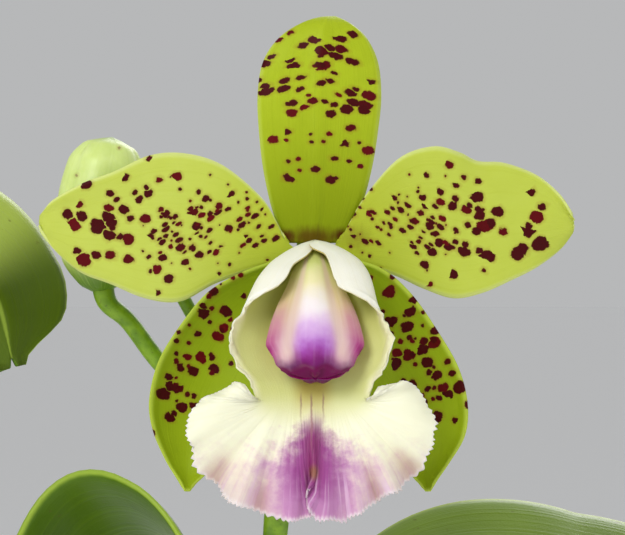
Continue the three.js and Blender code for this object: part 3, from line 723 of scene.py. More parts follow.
# %% Surface of the lip
def lip_tube(s, v):
    tangent = (lip_course(min(1, s + 0.01)) - lip_course(max(0, s - 0.01))).normalized()
    front = Vector((0, tangent.z, -tangent.y)).normalized()
    angle = v * math.radians(wrap_left(s) if v < 0 else wrap_right(s))
    spiral = 1 + 0.1 * v * (1 - min(1, s / 0.4))
    depth = lip_back(s) * (1 - math.cos(min(abs(angle), math.pi / 2)))
    depth += lip_front(s) * max(0, -math.cos(angle))
    place = lip_course(s) + front * depth * spiral
    narrower = 1 - 0.09 * math.sin(math.pi * s) if v > 0 else 1
    place.x += lip_half_width(s) * math.sin(angle) * spiral * narrower
    rim = smooth(0.72, 1, abs(v)) * smooth(0.3, 0.45, s) * smooth(1, 0.8, s)
    crinkle = 0.9 * noise.noise((13 * s, 4 * v, 3.3)) + 0.6 * noise.noise((34 * s, 4 * v, 1.7))
    place.x += math.copysign(rim * crinkle, v)
    place.y += 1.1 * rim * noise.noise((15 * s, 4 * v, 8.1))
    return LIP_FOOT.lerp(place, lip_closing(s))


# Each fold of the fan: its place and width as shares of the half width, and its depth in mm
FOLDS = [
    (-0.83, 0.05, 1.2), (-0.66, 0.05, -1.2), (-0.5, 0.04, 3.2), (-0.42, 0.03, -1.6),
    (-0.35, 0.03, 1.8), (-0.24, 0.04, -1.0), (0.19, 0.04, -0.8), (0.29, 0.03, 1.2),
    (0.41, 0.025, 1.8), (0.47, 0.03, -1.4), (0.54, 0.03, 2.6), (0.64, 0.04, -1.2),
    (0.78, 0.04, 1.6), (0.88, 0.04, -0.8),
]
TEETH = 62
FAN_DEPTH = 27


def frayed(v):
    """Fine teeth of uneven size along the fan's margin, in mm."""
    t = TEETH * v + 1.6 * noise.noise((9 * v, 3.1, 0))
    tooth = abs(2 * (t - math.floor(t)) - 1)
    size = 0.35 + 0.5 * abs(noise.noise((math.floor(t) * 0.73, 7.7, 0)))
    low = smooth(0.85, 0.6, abs(v))
    return 1.3 * size * tooth * (0.3 + 0.7 * low) + 0.9 * noise.noise((17 * v, 5.2, 0))


def lip_surface(u, v):
    if u <= LIP_WAIST:
        return lip_tube(u / LIP_WAIST, v) + BLOOM
    r = (u - LIP_WAIST) / (1 - LIP_WAIST)
    waist = lip_tube(1, v)
    margin = lip_margin((v + 1) / 2)
    outward = Vector((margin.x, 0, margin.z + FAN_DEPTH)).normalized()
    reach = frayed(v) * r**9
    x = waist.x + (margin.x - waist.x) * (1 - (1 - r) ** 1.25) + outward.x * reach
    z = waist.z + (margin.z - waist.z) * r**0.9 + outward.z * reach
    edge = -15.6 - 2 * math.sin(math.pi * 0.5 * (1 + v))
    near = smooth(0.24, 0.12, abs(v))
    overlap = math.copysign(0.9, -v) * near * smooth(0, 0.05, abs(v)) * smooth(0.45, 0.9, r)
    x -= math.copysign(1.2, v) * near * smooth(0.01, 0.08, abs(v)) * smooth(0.82, 1, r)
    folds = sum(deep * math.exp(-(((v - at) / wide) ** 2)) for at, wide, deep in FOLDS)
    folds = folds * r**2 + 0.45 * r**4 * math.sin(67 * v + 3 * math.sin(7 * v))
    grain = 0.12 * smooth(0, 0.3, r) * noise.noise((55 * v, 2 * r, 6.1))
    y = waist.y + (edge - waist.y) * r - 1.6 * math.sin(math.pi * r) + folds + grain + overlap
    return in_bloom(x, y, z)


frilled_lip = sheet("frilled_lip", *LIP_GRID, lip_surface, LIP_THICKNESS, 0.45, inner=True)

# %% [markdown]
# ## Colours of the lip
# Seen from outside the lip is ivory. Its inner face is yellow-green in the throat, cream on the
# fan and pink-lavender towards the lower margin, with a purple wedge below three thin veins. All
# of it follows the height and the distance from the middle line, and streaks along the sheet and
# soft clouds break it up.

# %% Lip finishes
def petal_finish(name, roughness=0.5):
    return Finish(name, roughness, glow=(0.3, 0.9, 0.7, 1))


def lip_inside():
    skin = petal_finish("lip_inner_face")
    place = skin.place(BLOOM)
    flat = skin.flat(place)
    x, _, z = skin.parts(place)
    along, across, _ = skin.parts(skin.sheet_place())
    streaks = skin.clouds(skin.sheet_place((1.5, 90, 1)), 1, 4, 0.6)
    cloud = skin.sum(skin.clouds(flat, 0.45, 5, 0.62), 0.5, "SUBTRACT")
    beside = skin.off(x, 0)

    cream, throat = colour(252, 250, 218), colour(216, 219, 138)
    skin.base = skin.mix(skin.step(along, 0.66, 0.5), cream, throat)
    skin.coat(skin.step(along, 0.45, 0.12), colour(204, 208, 112))
    middle = skin.off(across, 0.5)
    rolled_rim = skin.times(skin.step(middle, 0.36, 0.49), skin.step(along, 0.56, 0.5))
    skin.coat(rolled_rim, colour(240, 236, 194))
    honey = skin.times(skin.step(beside, 4, 1), skin.step(z, -28, -21.5))
    skin.coat(honey, colour(190, 164, 52), 0.75)

    # Pink comes in towards the lower margin, and most of all on either side of the cleft
    height = skin.sum(z, skin.times(cloud, 9))
    low = skin.step(height, -28.5, -38.5)
    pink = skin.times(low, skin.sum(skin.step(streaks, 0.2, 0.7), 0.55, "MAXIMUM"))
    skin.coat(pink, colour(216, 172, 196), 0.9)
    glow = skin.times(skin.step(skin.sum(beside, skin.times(cloud, 9)), 11, 3), skin.step(height, -28, -35))
    skin.coat(glow, colour(196, 122, 190), 0.8)

    # The wedge: a narrow tip at the veins, widest above the cleft
    width = skin.add("MapRange", {
        "Value": z, "From Min": -25, "From Max": -33, "To Min": 0.5, "To Max": 4.6,
    })
    wedge = skin.sum(skin.sum(beside, skin.times(cloud, 5)), width, "DIVIDE")
    wedge = skin.times(skin.step(wedge, 1.5, 0.3), skin.step(z, -25, -30))
    fading = skin.sum(skin.step(skin.sum(z, skin.times(cloud, 6)), -42, -36), 0.3, "MAXIMUM")
    wedge = skin.times(wedge, fading)
    skin.coat(wedge, colour(158, 62, 142))
    heart = skin.times(skin.step(beside, 2.4, 0.2), skin.step(z, -26, -31))
    heart = skin.times(heart, skin.step(z, -39, -34))
    skin.coat(heart, colour(138, 32, 98), 0.8)
    pale = skin.times(skin.step(streaks, 0.5, 0.68), skin.step(z, -34, -38))
    skin.coat(pale, colour(240, 214, 232), 0.6)
    for fold in (0.245, 0.325, 0.705, 0.77):
        off = skin.off(across, fold)
        shade = skin.times(skin.step(off, 0.022, 0.002), skin.step(along, 0.78, 0.95))
        skin.coat(shade, colour(176, 128, 112), 0.45)
    fringe = skin.times(skin.step(along, 0.975, 1), 0.7)
    skin.coat(fringe, colour(252, 240, 238))

    on_fan = skin.step(along, 0.5, 0.54)
    for centre, end in ((-1.75, -28.5), (-0.15, -33), (1.65, -28.5)):
        bent = skin.sum(x, skin.times(cloud, 0.8))
        off = skin.off(bent, centre)
        line = skin.times(skin.step(off, 0.26, 0.04), skin.step(z, end, end + 5))
        line = skin.times(line, on_fan)
        skin.coat(line, colour(142, 84, 92), 0.65)
    spot = skin.oval(flat, (0.2, -35), (0.8, 1.3))
    skin.coat(skin.step(spot, 1.3, 0.3), colour(150, 104, 40), 0.7)
    normal = skin.bump(streaks, 0.1, 0.4, skin.bump(skin.clouds(place, 4, 3), 0.05, 0.4))
    return skin.done(normal)


def lip_outside():
    skin = petal_finish("lip_outer_face", 0.45)
    place = skin.place(BLOOM)
    _, _, z = skin.parts(place)
    streaks = skin.clouds(skin.sheet_place((1.5, 60, 1)), 1, 3)
    white, ivory = colour(254, 252, 232), colour(240, 236, 196)
    skin.base = skin.mix(skin.step(streaks, 0.45, 0.75), white, ivory, 0.25)
    skin.coat(skin.step(z, -30, -38), colour(222, 180, 206), 0.6)
    normal = skin.bump(streaks, 0.08, 0.4, skin.bump(skin.clouds(place, 4, 3), 0.05, 0.4))
    return skin.done(normal)


frilled_lip.data.materials[0] = lip_inside()
frilled_lip.data.materials[1] = lip_outside()
shown(frilled_lip, "lip", "lip")

# %% [markdown]
# ## The column
# Inside the lip's tube stands the column, where an orchid's stamen and style have grown together.
# It is a broad shield with a raised ridge down its middle, a wing on either side and a toothed
# end that covers the anther. Hoops of that outline are strung along its curved course.

# %% Column
column_half = profile([
    [0, 1.4], [0.16, 3.2], [0.3, 4.3], [0.48, 6], [0.66, 7.2], [0.77, 7.6], [0.83, 7],
    [0.88, 6.4], [0.95, 6], [1, 5.2],
])
column_deep = profile([[0, 1.2], [0.3, 2], [0.6, 2.5], [0.85, 2.7], [1, 1.2]])
column_course = Line([
    (0.2, -3.2, -1.6), (0.3, -6, -3.5), (0.4, -9.8, -8.2), (0.4, -14, -14.5), (0.4, -17.7, -20),
])
COLUMN_ROWS = 80
CAP_ROWS = 6
COLUMN_SIDES = 72


def column_surface(s, angle):
    along = column_course.along(s)
    front = Vector((0, along.z, -along.y)).normalized()
    beside = math.cos(angle)
    rise = math.copysign(abs(math.sin(angle)) ** 1.3, math.sin(angle))
    if rise > 0:
        ridge = 0.16 * math.exp(-((beside / 0.2) ** 2))
        groove = 0.14 * math.exp(-(((abs(beside) - 0.5) / 0.15) ** 2))
        rise += (ridge - groove) * smooth(0.1, 0.5, s)
    else:
        rise *= 0.6
    lobes = 0.45 * smooth(0.85, 1, s) * (math.cos(3 * math.pi * beside) - 0.4)
    place = column_course.at(s) + front * column_deep(s) * rise + along * lobes
    place.x += column_half(s) * beside
    return place + BLOOM


def closed_column():
    """The hoops of the column; its end is rounded over to a pole that lies behind."""
    piece = grid("ridged_column", COLUMN_ROWS, COLUMN_SIDES)
    last = COLUMN_ROWS - CAP_ROWS
    poles = [column_surface(0, -math.pi / 2), column_surface(1, -math.pi / 2)]
    for vertex in piece.data.vertices:
        i = round((vertex.co.x + 1) / 2 * COLUMN_ROWS)
        angle = math.pi * vertex.co.y
        place = column_surface(min(1, max(0, (i - CAP_ROWS) / (last - CAP_ROWS))), angle)
        inset = max(0, 1 - i / CAP_ROWS, (i - last) / CAP_ROWS)
        if inset > 0:
            end = 0 if i < last else 1
            swell = column_course.along(end) * (2 * end - 1) * 0.3 * math.sin(math.pi * inset)
            place = place.lerp(poles[end], inset) + swell
        vertex.co = place * MM
    sew(piece)
    return piece


def column_finish():
    skin = petal_finish("column_skin", 0.42)
    skin.shader.inputs["Specular IOR Level"].default_value = 0.2
    place = skin.place(BLOOM)
    x, _, z = skin.parts(place)
    cloud = skin.sum(skin.clouds(place, 0.35, 3), 0.5, "SUBTRACT")
    height = skin.sum(z, skin.times(cloud, 3))
    beside = skin.off(x, 0.3)
    width = skin.add("MapRange", {
        "Value": z, "From Min": -2, "From Max": -15, "To Min": 2.2, "To Max": 7.4,
    })
    share = skin.sum(beside, width, "DIVIDE")
    skin.base = skin.mix(skin.step(height, -0.5, -6.5), colour(202, 218, 104), colour(250, 240, 190))
    skin.coat(skin.step(height, -5, -9.5), colour(254, 242, 242))
    skin.coat(skin.step(height, -9, -13.5), colour(226, 186, 234))
    skin.coat(skin.step(height, -12, -16.5), colour(182, 98, 202))
    skin.coat(skin.step(height, -14.2, -18.6), colour(140, 26, 122))
    sides = skin.mix(skin.step(height, -1, -9), colour(196, 206, 100), colour(222, 200, 150))
    sides = skin.mix(skin.step(height, -8, -15), sides, colour(214, 166, 178))
    skin.coat(skin.step(share, 0.22, 0.74), sides)
    wings = skin.mix(skin.step(height, -7, -13.5), sides, colour(206, 142, 158))
    wings = skin.mix(skin.step(height, -12, -16.5), wings, colour(178, 56, 134))
    skin.coat(skin.step(share, 0.66, 0.92), wings)
    stripe = skin.step(skin.off(share, 0.56), 0.2, 0.02)
    stripe = skin.times(stripe, skin.step(z, -18.8, -16.4))
    skin.coat(stripe, colour(232, 206, 188), 0.7)
    dark = skin.step(skin.sum(height, skin.times(stripe, 2.2)), -16.6, -20.6)
    streaks = skin.clouds(skin.sheet_place((1.5, 40, 1)), 1, 3)
    pale = skin.times(skin.step(streaks, 0.4, 0.8), 0.1)
    skin.coat(pale, colour(255, 255, 255))
    skin.coat(dark, colour(86, 0, 78))
    rim = skin.times(skin.step(share, 0.86, 0.98), skin.step(z, -15, -17))
    hem, _, _ = skin.parts(skin.sheet_place())
    rim = skin.sum(rim, skin.step(hem, 0.885, 0.915), "MAXIMUM")
    skin.coat(rim, colour(106, 0, 66), 0.85)
    normal = skin.bump(streaks, 0.06, 0.4, skin.bump(skin.clouds(place, 5, 3), 0.04, 0.3))
    return skin.done(normal)


column = closed_column()
shown(column, "column", "column", finish=column_finish())

# %% Anther cap
CAP_PLACE = in_bloom(0.6, -14.6, -20.2) * MM
cap = made(
    bpy.ops.mesh.primitive_uv_sphere_add, "two_lobed_anther_cap",
    segments=32, ring_count=20, radius=MM,
)
tilt = Matrix.Rotation(math.radians(-35), 4, "X")
for vertex in cap.data.vertices:
    here = vertex.co / MM
    cleft = 0.75 + 0.25 * smooth(0, 0.45, abs(here.x))
    vertex.co = CAP_PLACE + tilt @ Vector((2.6 * here.x, 1.3 * here.y * cleft, 1.5 * here.z * cleft)) * MM
bpy.ops.object.shade_smooth()
waxy = petal_finish("anther_wax", 0.3)
grain = waxy.clouds(waxy.place(BLOOM), 1.6, 3)
waxy.base = waxy.mix(grain, colour(78, 0, 58), colour(116, 16, 92))
shown(cap, "column", "anther_cap", finish=waxy.done(waxy.bump(grain, 0.06, 0.5)))

# %% [markdown]
# ## Buds
# A closed bud is the three sepals wrapped edge to edge, so it has three shallow seams that turn a
# little round it. It is fattest above the middle and blunt at its tip.

# %% Buds
bud_radius = profile([
    [0, 0.2], [0.06, 0.5], [0.25, 0.9], [0.55, 1], [0.8, 0.92], [0.94, 0.62], [1, 0.15],
])


def bud(name, points, thick):
    def radius(s, angle):
        turn = 3 * angle + 1.2 * s
        seam = 0.05 * math.cos(turn) ** 4 + 0.045 * math.exp(-((math.sin(turn / 2) / 0.07) ** 2))
        return thick * bud_radius(s) * (1 - seam)

    return rolled(name, Line([in_bloom(*p) for p in points]), radius, 60, 72)


def bud_finish(name, pale, green, foot):
    skin = Finish(name, 0.4, glow=(0.3, 1, 0.4, 1.5))
    place = skin.place(BLOOM)
    along, _, _ = skin.parts(skin.sheet_place())
    veins = skin.clouds(skin.sheet_place((1.2, 60, 1)), 1, 2)
    skin.base = skin.mix(skin.clouds(place, 0.3, 3), pale, green)
    # The lower third is painted dark green as shade of the bud's lower end; the tip is darkened a little
    # with the same green.
    skin.coat(skin.step(along, 0.34, 0.04), foot)
    skin.coat(skin.step(veins, 0.5, 0.75), green, 0.3)
    skin.coat(skin.step(along, 0.93, 1), foot, 0.6)
    spot, halo, _ = skin.spots(skin.flat(place), 2.2, 0.35, patch(0.2, (-30, 4), 14, 14), seed=61)
    skin.coat(halo, HALO, 0.25)
    skin.coat(spot, colour(120, 60, 30), 0.6)
    return skin.done(skin.bump(veins, 0.12, 0.5))


large_bud = bud("swollen_bud", [(-34, 13.2, -7.8), (-34.6, 13.4, 4), (-32.4, 14, 17.5)], 6.9)
ripe = colour(232, 246, 166), colour(198, 220, 104), colour(96, 136, 18)
shown(large_bud, "bud", "bud_large", finish=bud_finish("bud_green", *ripe))
small_bud = bud("young_bud", [(-23, 15.4, -4.2), (-24.6, 15.8, 2), (-25.4, 16, 8.6)], 3.1)
young = colour(190, 212, 100), colour(150, 182, 60), colour(90, 128, 20)
shown(small_bud, "bud", "bud_small", finish=bud_finish("young_bud_green", *young))

# %% [markdown]
# ## Flower stalk
# One stalk rises out of the leading cane and forks into a pedicel for each flower. The upper end
# of the open flower's pedicel is its ovary, six-ribbed and a little swollen. The tubes are made
# one by one and then remeshed into a single skin, so that the forks grow out of each other. A
# papery bract stays at each fork.

# %% Flower stalk
STALK_RADIUS = 2
STEM_GRID = (70, 36)
PEDICEL_RADIUS = 1.6
FORK = (-5, 9, -35)
PEDICELS = {
    "bloom": [FORK, (-4.5, 13.5, -22), (-2.6, 15.5, -9), (-0.4, 11, -1.6), (0, 3.5, -0.3)],
    "large": [FORK, (-13, 12, -29), (-24.2, 12.6, -19.4), (-30, 13, -12), (-33.2, 13.1, -9.1)],
    "small": [FORK, (-10.5, 13, -26), (-17, 14.5, -15.5), (-22.5, 15.2, -5.4)],
}
foot_line = Line([
    (-8, -9, 230), (-7.6, -11, 256), in_bloom(-5.8, 10.5, -44), in_bloom(-5, 9, -33.5),
])
ovary = profile([[0, 1], [0.5, 1.05], [0.75, 1.5], [0.93, 1.3], [1, 1.7]])
plain_stem = profile([[0, 1], [0.8, 0.92], [1, 1.15]])


def ovary_radius(s, angle):
    ribs = 1 + 0.06 * smooth(0.5, 0.7, s) * math.cos(6 * angle)
    return PEDICEL_RADIUS * ovary(s) * ribs


def stalk_radius(s, angle):
    return STALK_RADIUS * (1 + 0.03 * math.sin(40 * s))


def pedicel(name, radius, *beyond):
    """beyond takes the stem a little way into the bud that it carries."""
    line = Line([in_bloom(*p) for p in (*PEDICELS[name], *beyond)])
    return rolled("pedicel_" + name, line, radius, *STEM_GRID)


def remeshed(piece, voxel, smoothing=3):
    """One closed skin over pieces that run into each other."""
    bpy.context.view_layer.objects.active = piece
    skin = piece.modifiers.new("one_skin", "REMESH")
    skin.mode = "VOXEL"
    skin.voxel_size = voxel * MM
    soften = piece.modifiers.new("soften", "SMOOTH")
    soften.iterations = smoothing
    apply_all(piece)
    bpy.ops.object.shade_smooth()
    return piece


def bract(name, foot, reach):
    def surface(u, v):
        angle = math.radians(200 + v * (70 - 30 * u))
        radius = STALK_RADIUS + 0.3 + 1.1 * u
        ragged = 0.5 * noise.noise((6 * v, foot.z, 0)) * u
        return foot + Vector((radius * math.cos(angle), radius * math.sin(angle), (reach + ragged) * u))

    return sheet(name, 14, 18, surface, 0.5)


stalk = joined("forked_stalk", [
    rolled("peduncle", foot_line, stalk_radius, *STEM_GRID),
    pedicel("bloom", ovary_radius),
    pedicel("large", lambda s, a: PEDICEL_RADIUS * plain_stem(s), (-34.1, 13.3, -5)),
    pedicel("small", lambda s, a: 0.8 * PEDICEL_RADIUS * plain_stem(s), (-23.4, 15.5, -2.5)),
])
remeshed(stalk, 0.4)
stalk = joined("forked_stalk", [
    stalk,
    bract("fork_bract", in_bloom(-4.8, 9, -39), 6),
    bract("lower_bract", in_bloom(-5.7, 10, -41.5), 5),
])


def stem_finish(name, fresh, dark):
    skin = Finish(name, 0.4, glow=(0.15, 1, 0.4, 1))
    place = skin.place(BLOOM)
    streaks = skin.clouds(place, 0.5, 3)
    skin.base = skin.mix(skin.step(streaks, 0.25, 0.75), fresh, dark)
    flecks = skin.step(skin.clouds(place, 1.8, 2), 0.62, 0.7)
    skin.coat(flecks, colour(70, 50, 18), 0.35)
    return skin.done(skin.bump(streaks, 0.12, 0.5))


shown(
    stalk, "stalk", "flower_stalk",
    finish=stem_finish("stalk_green", colour(134, 172, 20), colour(98, 138, 0)),
)

# %% [markdown]
# ## Leaves
# The leaves are leathery and last for years. Each is a stiff strap, creased along its midrib and
# arched by its own weight. The crease is sharp above, so the blade is laid on a V that is only
# slightly rounded, with a notch at the tip where the two halves end unevenly.

# %% Leaves
LEAF_HALF_WIDTH = 23
LEAF_THICKNESS = 1.5
LEAF_GRID = (96, 32)
leaf_width = profile([
    [0, 0.2], [0.1, 0.32], [0.38, 0.95], [0.6, 1], [0.85, 0.82], [0.95, 0.55], [1, 0.12],
])
LEAVES = {
    "leading_left": (
        [(-12.4, -8.5, 230.5), (-14.6, -2, 256), (-23, 10, 271), (-44, 23, 264), (-72, 36, 245),
         (-98, 46, 220)],
        [(0.97, -0.2, 0), (-0.1, -0.35, 0.9)], [-14, -8],
    ),
    "leading_right": (
        [(-3.6, -8.5, 230.5), (0.2, -1, 254), (16, 13, 265), (48, 22, 262), (80, 28, 249),
         (106, 32, 232)],
        [(-0.97, -0.2, 0), (0.1, -0.35, 1)], [-14, -12],
    ),
    "left_inner": (
        [(-74.2, 8, 220.5), (-80, 5, 262), (-86, -1, 300), (-78, -6, 320), (-64, -7.5, 323),
         (-53, -8.5, 315), (-49, -9, 302)],
        [(-0.95, -0.2, -0.1), (0.1, -0.8, 0.62)], [-8, 30],
    ),
    "left_outer": (
        [(-82.2, 8, 216.5), (-101, 4, 248), (-128, -8, 266), (-156, -20, 256)],
        [(0.9, 0, 0.4), (0, -0.1, 1)], [-14, -14],
    ),
    "back_right": (
        [(25.4, 39.4, 201.5), (42, 56, 239), (74, 71, 258), (108, 79, 244)],
        [(-0.95, 0, 0.3), (0, -0.2, 1)], [-12, -12],
    ),
    "back_left": (
        [(17.2, 39.4, 202), (4, 60, 238), (-20, 84, 254), (-46, 104, 246)],
        [(0.95, 0, 0.2), (0, -0.4, 1)], [-12, -12],
    ),
    "oldest": (
        [(58.6, 31.8, 178), (82, 36, 212), (112, 36, 220), (142, 34, 202)],
        [(-0.8, 0, 0.6), (0, -0.3, 1)], [-14, -14],
    ),
}


def leaf(name):
    points, faces, folds = LEAVES[name]
    line = Line(points)
    faces = [Vector(face) for face in faces]
    seed = len(name) + points[0][0]

    def surface(u, v):
        along = line.along(u)
        across = along.cross(faces[0].lerp(faces[1], u)).normalized()
        normal = across.cross(along)
        fold = math.radians(folds[0] + (folds[1] - folds[0]) * u)
        uneven = 1 + 0.02 * noise.noise((7 * u, math.copysign(2, v), seed))
        reach = LEAF_HALF_WIDTH * leaf_width(u) * uneven
        crease = math.sqrt(v * v + 0.006) - 0.077
        ripple = 0.9 * u * v * v * math.sin(11 * u + 2 * v)
        ripple += 0.5 * noise.noise((5 * u, 1.5 * v, seed))
        notch = 1.6 * smooth(0.94, 1, u) * smooth(0.3, 0, abs(v))
        place = line.at(u) + across * reach * v * math.cos(fold) - along * notch
        return place + normal * (ripple - reach * crease * math.sin(fold))

    return sheet("blade_of_leaf_" + name, *LEAF_GRID, surface, LEAF_THICKNESS, 0.45, inner=True)


def leaf_finish(name, dark, fresh, rim, painted_sunlight_span=None):
    """The last argument is how far along the leaf a band of painted sunlight begins and ends, where the
    green is yellower.
    """
    skin = Finish(name, 0.4, glow=(0.12, 1, 0.3, 1), Specular_IOR_Level=0.25)
    place = skin.place()
    along, across, _ = skin.parts(skin.sheet_place())
    middle = skin.off(across, 0.5)
    ribs = skin.clouds(skin.sheet_place((1.5, 60, 1)), 1, 2)
    mottle = skin.clouds(place, 0.05, 4)
    skin.base = skin.mix(mottle, dark, fresh)
    skin.coat(skin.step(ribs, 0.45, 0.75), fresh, 0.3)
    skin.coat(skin.step(along, 0.3, 0), rim, 0.5)
    skin.coat(skin.step(middle, 0.02, 0.004), rim, 0.6)
    # The pale margin is painted highlight along the leaf's edge.
    skin.coat(skin.step(middle, 0.478, 0.5), rim, 0.8)
    if painted_sunlight_span:
        start, end = painted_sunlight_span
        sunlit = skin.times(skin.step(along, start - 0.12, start), skin.step(along, end + 0.06, end))
        skin.coat(sunlit, colour(184, 204, 84), 0.85)
    flecks = skin.step(skin.clouds(place, 0.45, 4), 0.66, 0.74)
    skin.coat(flecks, colour(96, 84, 34), 0.5)
    pores = skin.clouds(place, 2.5, 2)
    normal = skin.bump(ribs, 0.25, 0.5, skin.bump(pores, 0.05, 0.5))
    rough = skin.sum(skin.times(mottle, 0.25), 0.26)
    return skin.done(normal, rough)


leaf_top = leaf_finish(
    "leaf_upper_face", colour(58, 88, 4), colour(104, 142, 14), colour(172, 198, 70),
)
# The left inner leaf's hanging half gets its own under face: the under face's colours darkened as painted
# shade, with a band of painted sunlight on its bend.
painted_shade_and_sun_under = leaf_finish(
    "leaf_under_face_with_painted_shade_and_sun", colour(64, 84, 2), colour(92, 116, 8), colour(160, 184, 64),
    painted_sunlight_span=(0.55, 0.86),
)
leaf_under = leaf_finish(
    "leaf_under_face", colour(96, 124, 30), colour(136, 164, 52), colour(180, 200, 92),
)
for name in LEAVES:
    blade = leaf(name)
    blade.data.materials[0] = leaf_top
    blade.data.materials[1] = painted_shade_and_sun_under if name == "left_inner" else leaf_under
    shown(blade, "leaf", "leaf_" + name)

# %% [markdown]
# ## Canes
# Each pseudobulb is a swollen, jointed stem that stores water. Old ones are furrowed and yellow,
# the newest is plump and green, and dry sheaths cling below its joints like torn paper. The cane
# is rolled round its line with a ring at every joint. Its sheaths are open thin sheets wrapped
# round the same line, a little wider, with ragged upper edges.

# %% Canes
CANES = {
    "oldest": ([(32, 23, 95), (42, 28, 136), (60, 32, 182)], 8.5, 0.55),
    "back": ([(10, 14, 95), (13, 28, 150), (22, 40, 205)], 9, 0.4),
    "left": ([(-32, 7, 95), (-50, 8, 160), (-80, 8, 222)], 9, 0.25),
    "leading": ([(-6, -6, 95), (-4, -8, 165), (-8, -9, 234)], 9.5, 0.1),
}
CANE_JOINTS = (0.2, 0.43, 0.64, 0.86)
cane_width = profile([
    [0, 0.55], [0.08, 0.7], [0.2, 0.82], [0.22, 0.78], [0.42, 1], [0.45, 0.95],
    [0.62, 1], [0.66, 0.93], [0.84, 0.8], [0.87, 0.76], [0.97, 0.68], [1, 0.6],
])


def cane_radius(name, furrows):
    thick = CANES[name][1]

    def radius(s, angle):
        flatter = 1 - 0.12 * math.sin(angle) ** 2
        joint = max(math.exp(-(((s - j) / 0.006) ** 2)) for j in CANE_JOINTS)
        furrow = furrows * (0.5 - 0.5 * math.cos(11 * angle + 2 * math.sin(5 * s + thick)))
        body = smooth(0.05, 0.2, s) * smooth(1, 0.9, s)
        return thick * cane_width(s) * flatter * (1 - 0.09 * furrow * body) + 0.3 * joint

    return radius


def sheath(name, line, radius, start, end, open_share, seed):
    """A papery wrap round a line, from start to end of its length, open along one side."""
    across = Vector((1, 0, 0))
    side_turn = seed * 1.7

    def surface(u, v):
        ragged = 0.05 * noise.noise((3 * v, seed, 0)) + 0.02 * noise.noise((13 * v, seed, 4))
        s = start + (end - start + ragged * u) * u
        along = line.along(s)
        side = (across - along * across.dot(along)).normalized()
        angle = side_turn + v * math.pi * (1 - open_share * (0.3 + u))
        reach = radius(s, angle) + 0.45 + 0.5 * u**3 + 0.25 * noise.noise((2 * v, 4 * u, seed))
        return spoke(line.at(s), side, along.cross(side), reach, angle)

    return sheet(name, 24, 48, surface, 0.3)


def cane_finish(name, fresh, old):
    skin = Finish(name, 0.42, glow=(0.08, 0.2, 0.1, 1))
    place = skin.place()
    fibres = skin.clouds(skin.place(scale=(1, 1, 0.08)), 0.9, 3)
    skin.base = skin.mix(skin.step(skin.clouds(place, 0.06, 4), 0.35, 0.65), fresh, old)
    skin.coat(skin.step(fibres, 0.45, 0.75), colour(108, 104, 52), 0.4)
    along, _, _ = skin.parts(skin.sheet_place())
    for joint in CANE_JOINTS:
        near = skin.step(skin.off(along, joint), 0.012, 0.003)
        skin.coat(near, colour(178, 168, 112), 0.6)
    return skin.done(skin.bump(fibres, 0.2, 0.5))


def dry_finish(name, light, dark):
    skin = Finish(name, 0.75, glow=(0.1, 0.2, 0.1, 0.5))
    place = skin.place()
    fibres = skin.clouds(skin.place(scale=(1, 1, 0.06)), 1.6, 4)
    skin.base = skin.mix(skin.step(fibres, 0.3, 0.7), light, dark)
    stains = skin.step(skin.clouds(place, 0.12, 4), 0.5, 0.75)
    skin.coat(stains, colour(92, 74, 50), 0.5)
    return skin.done(skin.bump(fibres, 0.25, 0.6))


sheath_paper = dry_finish("dry_sheath", colour(206, 196, 168), colour(160, 144, 110))
SHEATH_SPANS = {
    "oldest": ((0.03, 0.2),),
    "back": ((0.03, 0.24), (0.2, 0.42)),
    "left": ((0.03, 0.25), (0.2, 0.45)),
    "leading": ((0.03, 0.26), (0.2, 0.47), (0.43, 0.66)),
}
for name, (points, thick, age) in CANES.items():
    line = Line(points)
    radius = cane_radius(name, 0.3 + age)
    cane = rolled("cane_" + name, line, radius, 150, 66)
    fresh = colour(128 + 60 * age, 146 + 20 * age, 54 + 20 * age)
    shown(
        cane, "cane", "pseudobulb_" + name,
        finish=cane_finish("cane_skin_" + name, fresh, colour(150, 150, 78)),
    )
    wraps = [
        sheath(f"wrap_{name}_{i}", line, radius, start, end, 0.12 + 0.1 * i, i + thick)
        for i, (start, end) in enumerate(SHEATH_SPANS[name])
    ]
    wraps = joined("sheaths_of_cane_" + name, wraps)
    shown(wraps, "sheath", finish=sheath_paper)

# %% Young shoot and floral sheath
shoot_line = Line([(-9, -27, 95), (-13, -34, 118), (-15, -37, 150)])
shoot_width = profile([[0, 0.8], [0.2, 1], [0.55, 0.82], [0.85, 0.4], [1, 0.08]])


def shoot_radius(s, angle):
    wraps = 0.12 * math.exp(-((math.sin((angle - 1.2) / 2 - 2.2 * s) / 0.06) ** 2))
    return 5.4 * shoot_width(s) * (1 - 0.3 * math.sin(angle) ** 2) * (1 - wraps)


shoot = rolled("young_shoot_tip", shoot_line, shoot_radius, 80, 60)
shown(
    shoot, "cane", "young_shoot",
    finish=cane_finish("shoot_green", colour(150, 178, 62), colour(128, 150, 60)),
)
sheath_width = profile([[0, 2.7], [0.3, 3.2], [0.75, 3.4], [1, 1]])
SHEATH_FOOT = (-8, -8.5, 234.7)
SHEATH_HEIGHT = 34


def floral_sheath(u, v):
    angle = math.radians(90 + v * (120 - 40 * u))
    reach = sheath_width(u)
    ragged = 1.5 * noise.noise((3 * v, 9.1, 0)) * u**6
    reach += 0.3 * u * noise.noise((3 * v, 5 * u, 2.2))
    return Vector((
        SHEATH_FOOT[0] + reach * math.cos(angle),
        SHEATH_FOOT[1] - 4 * u + reach * math.sin(angle),
        SHEATH_FOOT[2] + SHEATH_HEIGHT * u + ragged,
    ))


